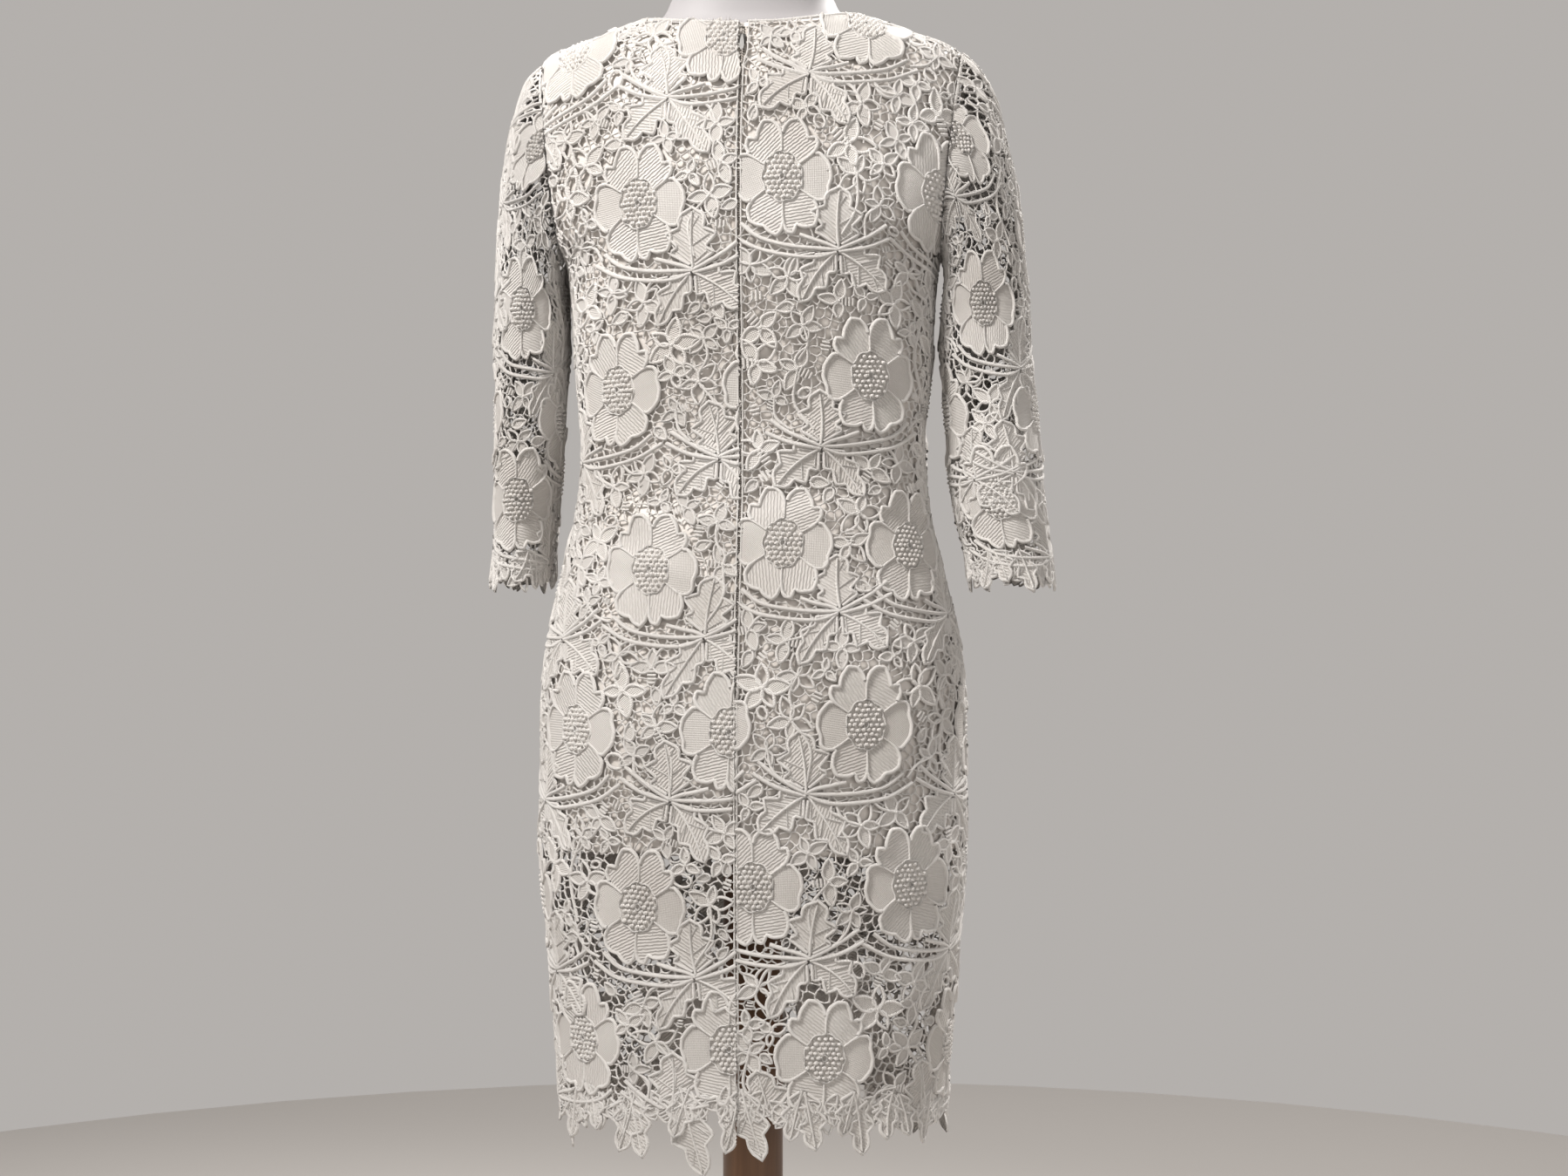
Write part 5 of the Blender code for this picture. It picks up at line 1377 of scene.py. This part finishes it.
def make_front_lace(material):
    """The front, cut in one."""
    edges = panel_edges(FRONT, HEM_Z, HEM_RISE_AT_BACK * 0.4, no_seam)
    loop, hem = whole_front(edges)
    place = body_placer(FRONT, 0, float(hem[:, 1].mean()) * MM, 4.1)
    panel = Panel("lace_whole_front", loop, place, 1, 23)
    random = panel.random
    grow(panel, flower_places(FRONT, "z_front", "front", True), dense_zone=pole_zone(hem))
    tips, x = [], loop[:, 0].min() + 12
    while x < loop[:, 0].max() - 8:
        tips.append((x, random.uniform(18, 46), random.uniform(20, 29), random.uniform(-18, 18)))
        x += random.uniform(20, 34)
    hem_leaves(panel, hem, tips)
    edge_cords(panel, edges, (1, -1))
    longer = lowered(loop, len(hem), HANGS_BELOW_HEM)
    panel_pieces(panel, longer, material, ["lace_front"])


# A cuff's hanging leaves: x on the flat pattern, and drop
CUFF_TIPS = [
    (-132, 7), (-104, 14), (-76, 9), (-50, 15), (-24, 8), (2, 14), (27, 9), (52, 16), (78, 8), (104, 14),
    (128, 8),
]


def make_sleeve_lace(material):
    """The two sleeves, each laid round in one, with its seam under the arm."""
    for hand, word, table in ((1, "left", LEFT_SLEEVE), (-1, "right", RIGHT_SLEEVE)):
        sleeve = Sleeve(table, hand)
        u = np.linspace(-0.5, 0.5, 61)
        cap = np.interp(u % 1, Sleeve.COLUMNS, sleeve.cap)
        cuff = (cap - np.array([sleeve.length_at(a % 1, CUFF_Z) for a in u])) / MM
        bottom = np.column_stack([u * ROUND_LENGTH, cuff])
        top = np.column_stack([u * ROUND_LENGTH, cap / MM - 0.3])[::-1]
        loop = np.vstack([bottom, top])
        panel = Panel(f"sleeve_{word}", loop, sleeve_placer(sleeve, 1.1 * hand), hand, 31 + hand)

        def squeeze_at(x, y, sleeve=sleeve):
            return ROUND_LENGTH * MM / sleeve.perimeter(max(0.0, TOP_OF_HEAD - y * MM))

        flowers = [(a * ROUND_LENGTH, y, mirror) for a, y, mirror in SLEEVE_FLOWERS]
        grow(panel, flowers, squeeze_at, 0.92, (loop.min(axis=0), loop.max(axis=0)))
        random = panel.random
        tips = [(x, drop, random.uniform(20, 27), random.uniform(-28, 28)) for x, drop in CUFF_TIPS]
        hem_leaves(panel, bottom, tips)
        cord(panel.cords, top[::-1] - (0, 1.2), 1.0, 0.0, 1.5)
        up = np.linspace(cap[0] / MM - 2, cuff[0] + 1, 40)
        seam = np.column_stack([np.full(40, ROUND_LENGTH / 2 - 1.2), up])
        for side in (-1, 1):
            cord(panel.cords, seam * (side, 1), 0.8, 0.0, 1.1)
        widest, area = sleeve.cloth()
        flat = (widest, float(cap.max() - cuff.min() * MM + CUFF_DROP * MM))
        nodes = [f"sleeve_{word}_front", f"sleeve_{word}_back"]
        longer = lowered(loop, len(bottom), HANGS_BELOW_CUFF)
        panel_pieces(panel, longer, material, nodes, flat, area)


def coons(edges, columns, rows):
    """A grid of (s, t) over a half panel, blended from its edges: centre line to side, and hem to top."""

    def even(line, count):
        return np.column_stack(spread(line[:, 0], line[:, 1], count))

    low = even(edges["hem"], columns)
    high = even(np.vstack([edges["shoulder"], edges["neck"]])[::-1], columns)
    near = even(edges["middle"][::-1], rows)
    far = even(np.vstack([edges["side"], edges["arm"]]), rows)
    u, v = np.linspace(0, 1, columns)[None, :, None], np.linspace(0, 1, rows)[:, None, None]
    grid = (1 - v) * low[None] + v * high[None] + (1 - u) * near[:, None] + u * far[:, None]
    corners = (1 - u) * (1 - v) * low[0] + u * (1 - v) * low[-1] + (1 - u) * v * high[0] + u * v * high[-1]
    return grid - corners


def make_lining(material):
    """The plain lining of the body, thin and smooth, with a turned-up hem."""
    jobs = [
        ("lining_whole_front", FRONT, 0, "lining_front"),
        ("lining_left_back", BACK, 1, "lining_back_left"),
        ("lining_right_back", BACK, -1, "lining_back_right"),
    ]
    for name, skin, hand, cad_node in jobs:
        edges = panel_edges(skin, LINING_HEM_Z, 0.0, no_seam if hand == 0 else plain_seam)
        half = coons(edges, 40, 150)
        if hand == 0:
            half = np.concatenate([half[:, :0:-1] * (-1, 1), half], axis=1)
        rows, columns = half.shape[:2]
        st = half.reshape(-1, 2)
        up = st[:, 1] - edges["hem"][:, 1].mean()
        turned_up = np.clip((HEM_TURNED_UP - up) / 0.002, 0, 1)
        loose = np.clip((0.25 - up) / 0.2, 0, 1)
        out = LINING_AT + 0.45 * MM * turned_up + wave(st[:, 0], st[:, 1], 0.30 * MM, 0.6) * loose
        tri = grid_triangles(rows, columns)
        if hand <= 0:
            tri = tri[:, ::-1]
        thread = np.column_stack([st / MM, np.full(len(st), PLAIN)])
        obj = thread_object(name, skin.place(st, out, hand), tri, thread, material)
        thicken(obj, 1)
        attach(obj, BODY_NAME)
        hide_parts(cad_node)
        loop = np.vstack([half[0], half[:, -1], half[-1, ::-1], half[::-1, 0]])
        area_of(loop)


def make_tape(material):
    """The zip's tape behind the slit, and its coil."""
    z = np.linspace(ZIP_END_Z, ZIP_TOP_Z, 240)
    s = np.linspace(-TAPE_WIDTH / 2, TAPE_WIDTH / 2, 9)
    st = np.array([(a, float(b)) for b in BACK.level(0.0, z) for a in s])
    points = BACK.place(st, np.full(len(st), TAPE_AT), 0)
    thread = np.column_stack([st / MM, np.full(len(st), PLAIN)])
    tape = thread_object("zip_cloth_tape", points, grid_triangles(len(z), len(s)), thread, material)
    thicken(tape, 0)
    bits = Bits()
    teeth = np.arange(st[0, 1] + 0.001, st[-1, 1] - 0.002, COIL_PITCH) / MM
    for k, y in enumerate(teeth):
        side = 1 if k % 2 else -1
        line = [(side * 1.9, y), (side * 0.6, y + 0.2), (-side * 0.8, y + 0.5)]
        cord(bits, line, 0.42, 0.0, 0.7)
    at, thread, tri = bits.whole()
    coil_points = BACK.place(at[:, :2] * MM, TAPE_AT + (0.3 + at[:, 2]) * MM, 0)
    coil = thread_object("zip_coil", coil_points, tri, thread, material)
    for obj in (tape, coil):
        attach(obj, BODY_NAME)
    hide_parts("zip_tape")


def form_ring(z, turn, shrink=1.0):
    """One level ring of the form, inside the skin, and lower than it where the shoulders are nearly level."""
    inset = LACE_OUT + FORM_IN
    above = np.array([z + SHOULDER_DROP * min(1, max(0, (z - 1.36) / 0.03))])
    half_width, back, front = (
        (curve_through(above, BODY, c)[0] - inset) * shrink for c in ("half_width", "back", "front")
    )
    power = 2 / SQUARENESS
    c, s = np.cos(turn), np.sin(turn)
    x = half_width * np.sign(c) * np.abs(c) ** power
    y = np.where(s > 0, back, front) * np.sign(s) * np.abs(s) ** power
    return np.column_stack([x, y, np.full(len(turn), z)])


def make_form(material):
    """The torso of the dress form, smooth and whole, with flat ends at both arms."""
    turn = np.arange(112) * TAU / 112
    heights = np.concatenate([np.linspace(FORM_FOOT_Z, 1.39, 74), np.linspace(1.395, 1.512, 40)])
    heights[0] += 2 * MM
    rings = [form_ring(FORM_FOOT_Z, turn, 0.972)] + [form_ring(z, turn) for z in heights]
    for lift in (0.0, 0.3, 0.55, 0.76, 0.9, 0.98):
        z = FORM_TOP_Z - DOME_HEIGHT * (1 - lift)
        rings.append(form_ring(z, turn, 1 - 0.2 * (1 - math.sqrt(1 - lift**2))))
    bm = bmesh.new()
    loops = [[bm.verts.new(p) for p in ring] for ring in rings]
    for low, high in zip(loops, loops[1:]):
        for k in range(len(turn)):
            n = (k + 1) % len(turn)
            bm.faces.new((low[k], low[n], high[n], high[k]))
    bm.faces.new(loops[0][::-1])
    peak = bm.verts.new((0, 0.003, FORM_TOP_Z))
    for k in range(len(turn)):
        bm.faces.new((loops[-1][k], loops[-1][(k + 1) % len(turn)], peak))
    for hand in (1, -1):
        normal = Vector(ARM_NORMAL)
        normal.x *= hand
        point = Vector((hand * (ARMPIT_X - 2.0 * MM), 0, ARMPIT_Z))
        geometry = {}  # a dict keeps its order, so the mesh comes out the same each time
        for face in bm.faces:
            middle = face.calc_center_median()
            if middle.z > 1.19 and middle.x * hand > 0.1:
                geometry.update(dict.fromkeys([face, *face.verts, *face.edges]))
        bmesh.ops.bisect_plane(bm, geom=list(geometry), plane_co=point, plane_no=normal, clear_outer=True)
        bmesh.ops.holes_fill(bm, edges=[e for e in bm.edges if e.is_boundary], sides=0)
    bmesh.ops.recalc_face_normals(bm, faces=bm.faces[:])
    mesh = bpy.data.meshes.new("form")
    bm.to_mesh(mesh)
    bm.free()
    mesh.shade_smooth()
    mesh.set_sharp_from_angle(angle=math.radians(40))
    obj = add_object("form", mesh, material)
    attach(obj, BODY_NAME)
    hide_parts("form_torso")


def turned(name, profile, steps, material, cad_node):
    """A solid of revolution from its profile of (radius, height), from the top of the axis down."""
    turn = np.arange(steps) * TAU / steps
    ring = np.array([[(r * math.cos(a), r * math.sin(a), z) for a in turn] for r, z in profile])
    faces = []
    for k in range(len(profile) - 1):
        for n in range(steps):
            m = (n + 1) % steps
            faces.append((k * steps + n, (k + 1) * steps + n, (k + 1) * steps + m, k * steps + m))
    faces.append(tuple(range(steps)))
    faces.append(tuple(range((len(profile) - 1) * steps, len(profile) * steps))[::-1])
    mesh = bpy.data.meshes.new(name)
    mesh.from_pydata(ring.reshape(-1, 3).tolist(), [], faces)
    mesh.shade_smooth()
    mesh.set_sharp_from_angle(angle=math.radians(35))
    obj = add_object(name, mesh, material)
    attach(obj, BODY_NAME)
    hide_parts(cad_node)


def rounded(radius, height, wide, high, start, end, steps):
    """A rounded corner of a profile: an arc between two angles in degrees, about (radius, height)."""
    turn = np.radians(np.linspace(start, end, steps))
    return [(radius + wide * math.cos(a), height + high * math.sin(a)) for a in turn]


def make_stand(pole_wood, base_wood):
    """The turned pole and the round base with its collar."""
    top = BASE_THICKNESS + COLLAR_HEIGHT
    base = [(AXIS_RADIUS, top)]
    base += rounded(COLLAR_RADIUS - 0.005, top - 0.005, 0.005, 0.005, 90, 0, 6)
    base += rounded(COLLAR_RADIUS + 0.006, BASE_THICKNESS + 0.006, 0.006, 0.006, 180, 270, 6)
    base += rounded(BASE_RADIUS - 0.010, BASE_THICKNESS - 0.012, 0.010, 0.009, 90, 0, 8)
    base += [(BASE_RADIUS, 0.010)]
    base += rounded(BASE_RADIUS - 0.003, 0.003, 0.003, 0.003, 0, -90, 5)
    base += [(AXIS_RADIUS, 0)]
    turned("base", base, 128, base_wood, "stand_base")
    edge = 1 * MM
    low_z, high_z = top + 0.3 * MM, FORM_FOOT_Z - 0.3 * MM
    pole = [(AXIS_RADIUS, high_z), (POLE_RADIUS - edge, high_z), (POLE_RADIUS, high_z - edge)]
    pole += [(POLE_RADIUS, low_z + edge), (POLE_RADIUS - edge, low_z), (AXIS_RADIUS, low_z)]
    turned("pole", pole, 72, pole_wood, "stand_pole")


def put_in(tree, made, inputs):
    """Gives a node its inputs, as values or as links from other nodes."""
    for key, value in inputs.items():
        if isinstance(value, bpy.types.NodeSocket):
            tree.links.new(value, made.inputs[key])
        else:
            made.inputs[key].default_value = value


class Look:
    """A material and the nodes that it is made of."""

    def __init__(self, name):
        self.material = bpy.data.materials.new(name)
        self.material.use_nodes = True
        self.tree = self.material.node_tree

    def node(self, kind, inputs, **settings):
        made = self.tree.nodes.new(kind)
        for key, value in settings.items():
            setattr(made, key, value)
        put_in(self.tree, made, inputs)
        return made

    def surface(self, inputs):
        """Finishes the material with its shader's inputs."""
        put_in(self.tree, self.tree.nodes["Principled BSDF"], inputs)
        return self.material

    def place(self):
        return self.node("ShaderNodeTexCoord", {}).outputs["Object"]

    def thread(self):
        return self.node("ShaderNodeAttribute", {}, attribute_name="thread").outputs["Vector"]

    def split(self, vector):
        return self.node("ShaderNodeSeparateXYZ", {0: vector}).outputs

    def stretched(self, vector, shares):
        return self.node("ShaderNodeVectorMath", {0: vector, 1: shares}, operation="MULTIPLY").outputs[0]

    def noise(self, vector, scale, detail, roughness=0.5):
        inputs = {"Vector": vector, "Scale": scale, "Detail": detail, "Roughness": roughness}
        return self.node("ShaderNodeTexNoise", inputs).outputs["Fac"]

    def weave(self, scale, distortion):
        inputs = {"Vector": self.place(), "Scale": scale, "Distortion": distortion}
        return self.node("ShaderNodeTexWave", inputs, bands_direction="Z").outputs["Fac"]

    def maths(self, operation, a, b=0.0, c=0.0):
        return self.node("ShaderNodeMath", {0: a, 1: b, 2: c}, operation=operation).outputs[0]

    def scaled(self, value, factor, plus=0.0):
        return self.maths("MULTIPLY_ADD", value, factor, plus)

    def stripes(self, value, pitch, plus=0.0):
        """Waves along a value, one each pitch."""
        return self.maths("SINE", self.scaled(value, TAU / pitch, plus))

    def mixed(self, share, a, b, kind="RGBA"):
        return self.node("ShaderNodeMix", {"Factor": share, "A": a, "B": b}, data_type=kind).outputs["Result"]

    def ramp(self, value, low, high, dark, light):
        """A colour from dark to light as a value goes from low to high."""
        share = self.node("ShaderNodeMapRange", {"Value": value, "From Min": low, "From Max": high})
        return self.mixed(share.outputs[0], (*dark, 1), (*light, 1))

    def ranged(self, value, low, high):
        """A number from low to high as a value goes from 0 to 1."""
        return self.node("ShaderNodeMapRange", {"Value": value, "To Min": low, "To Max": high}).outputs[0]

    def bump(self, height, strength, distance):
        inputs = {"Height": height, "Strength": strength, "Distance": distance}
        return self.node("ShaderNodeBump", inputs).outputs["Normal"]


def lace_material():
    """Matt cotton thread: satin stitch or mesh on the petals, wrapped cords round them."""
    look = Look("ivory_lace_thread")
    thread = look.thread()
    along, across, kind = look.split(thread)
    rib = look.stripes(across, 2.6, look.scaled(look.noise(thread, 0.35, 1.0), 5.0))
    ribbed = look.scaled(look.stripes(along, 0.55, look.scaled(rib, 0.8)), 0.30, rib)
    mesh = look.scaled(look.scaled(look.stripes(across, 1.15), 0.7, look.stripes(along, 1.15)), 0.6)
    wrapped = look.scaled(look.stripes(along, 0.95, look.scaled(across, 2.2)), 0.6)
    is_cord = look.maths("GREATER_THAN", kind, (RIBBED + CORDED) / 2)
    is_cloth = look.maths("LESS_THAN", kind, (PLAIN + RIBBED) / 2)
    height = look.mixed(is_cloth, ribbed, mesh, "FLOAT")
    height = look.mixed(is_cord, height, wrapped, "FLOAT")
    height = look.scaled(look.noise(thread, 2.6, 3.0), 1.1, height)
    # painted shade and highlight: the thread is darker in the low parts of its stitches, and the cords, knots
    # and bars are painted lighter than the lower petals and leaves; the noise over the object is the thread's
    # own uneven tone
    tone = look.scaled(height, 0.13, look.noise(look.place(), 9.0, 2.0))
    tone = look.scaled(is_cord, 0.30, tone)
    return look.surface({
        "Base Color": look.ramp(tone, 0.25, 1.05, (0.59, 0.552, 0.512), (0.93, 0.90, 0.865)),
        "Normal": look.bump(height, 0.9, 0.6 * MM),
        "Roughness": 0.82,
        "Sheen Weight": 0.12,
        "Sheen Roughness": 0.5,
        "Specular IOR Level": 0.35,
    })


def lining_material():
    """Ivory satin with a fine weave."""
    look = Look("ivory_satin_lining")
    cloudy = look.noise(look.place(), 14.0, 3.0)
    return look.surface({
        "Base Color": look.ramp(cloudy, 0.3, 0.7, (0.66, 0.615, 0.57), (0.72, 0.675, 0.63)),
        "Normal": look.bump(look.weave(900.0, 0.6), 0.12, 0.2 * MM),
        "Roughness": look.ranged(cloudy, 0.42, 0.56),
        "Sheen Weight": 0.15,
    })


def tape_material():
    """Ivory tape, with a painted shadow of the slit as a dark line down its middle."""
    look = Look("woven_tape")
    weave = look.weave(700.0, 1.0)
    aside = look.maths("ABSOLUTE", look.split(look.thread())["X"])
    # painted shadow: near black down the tape's middle, where the slit's shade falls; the coil shares this
    # material and takes it on the first half of each turn
    painted_slit_shadow = look.maths("LESS_THAN", aside, 1.3)
    woven = look.ramp(weave, 0.0, 1.0, (0.50, 0.455, 0.41), (0.60, 0.555, 0.51))
    return look.surface({
        "Base Color": look.mixed(painted_slit_shadow, woven, (0.035, 0.028, 0.022, 1)),
        "Normal": look.bump(weave, 0.4, 0.3 * MM),
        "Roughness": 0.8,
    })


def form_material():
    """Smooth white jersey stretched over the form."""
    look = Look("white_jersey")
    cloudy = look.noise(look.place(), 7.0, 2.0)
    return look.surface({
        "Base Color": look.ramp(cloudy, 0.3, 0.7, (0.33, 0.316, 0.322), (0.36, 0.346, 0.352)),
        "Normal": look.bump(look.noise(look.place(), 1100.0, 2.0), 0.15, 0.4 * MM),
        "Roughness": 0.6,
        "Sheen Weight": 0.2,
    })


def wood_material(name, squash):
    """Walnut with its grain along the narrow axis of squash, its browns darkened in part as painted shade."""
    look = Look(name)
    stretched = look.stretched(look.place(), squash)
    pores = look.noise(stretched, 190.0, 3.0)
    tone = look.scaled(pores, 0.35, look.noise(stretched, 26.0, 5.0, 0.6))
    return look.surface({
        # partly painted shade: the ramp's browns are the wood's own made darker for the shadow under the
        # dress's hem; the grain and pores are the wood's own
        "Base Color": look.ramp(tone, 0.45, 0.90, (0.075, 0.035, 0.016), (0.20, 0.100, 0.048)),
        "Normal": look.bump(pores, 0.25, 0.3 * MM),
        "Roughness": look.ranged(tone, 0.45, 0.30),
    })


def metal_material(name, colour, roughness):
    """Finely scratched metal."""
    look = Look(name)
    scratches = look.noise(look.place(), 1500.0, 2.0)
    return look.surface({
        "Base Color": (*colour, 1),
        "Metallic": 1.0,
        "Roughness": look.ranged(scratches, roughness - 0.08, roughness + 0.1),
    })


def make_studio():
    """A pale floor, the wall's even tone all round, soft light from both sides, and the camera."""
    scene = bpy.context.scene
    world = bpy.data.worlds.new("studio")
    scene.world = world
    world.use_nodes = True
    put_in(world.node_tree, world.node_tree.nodes["Background"], {"Color": WALL_COLOUR, "Strength": 0.57})

    mesh = bpy.data.meshes.new("floor")
    turn = np.arange(64) * TAU / 64
    rim = [(FLOOR_RADIUS * math.cos(a), FLOOR_RADIUS * math.sin(a), 0) for a in turn]
    mesh.from_pydata(rim, [], [tuple(range(64))])
    pale = Look("pale_floor").surface({"Base Color": (0.60, 0.575, 0.55, 1), "Roughness": 0.8})
    floor = add_object("floor", mesh, pale)

    for word, side in (("", 1), ("front_", -1)):
        for lamp in LAMPS:
            light = bpy.data.lights.new(word + lamp.name, "AREA")
            light.shape, light.size, light.energy = "DISK", lamp.size, lamp.power
            light.color = (1.0, 0.975, 0.95)
            light.spread = math.radians(80)
            at = Vector((side * lamp.x, side * lamp.y, lamp.z))
            holder = bpy.data.objects.new(light.name, light)
            holder.location = at
            holder.rotation_euler = (Vector(LAMPS_AIM) - at).to_track_quat("-Z", "Y").to_euler()
            scene.collection.objects.link(holder)

    camera = bpy.data.cameras.new("photo_camera")
    camera.lens, camera.sensor_width = 52, 36
    view = bpy.data.objects.new("photo_camera", camera)
    view.location = CAMERA_AT
    view.rotation_euler = Vector(CAMERA_LOOKS).to_track_quat("-Z", "Y").to_euler()
    scene.collection.objects.link(view)
    scene.camera = view
    scene.view_settings.view_transform = "Standard"


lace = lace_material()
make_form(form_material())
make_stand(wood_material("walnut_pole", (1.0, 1.0, 0.07)), wood_material("walnut_base", (0.07, 1.0, 1.0)))
make_lining(lining_material())
make_tape(tape_material())
make_back_lace(lace)
make_front_lace(lace)
make_sleeve_lace(lace)
for node_name, material in (
    ("zip_slider", metal_material("dark_nickel", (0.10, 0.095, 0.09), 0.35)),
    ("zip_pull", metal_material("bright_steel", (0.78, 0.77, 0.75), 0.22)),
):
    for obj in bpy.data.objects:
        if obj.type == "MESH" and obj.name.startswith(node_name):
            obj.data.materials.clear()
            obj.data.materials.append(material)
make_studio()
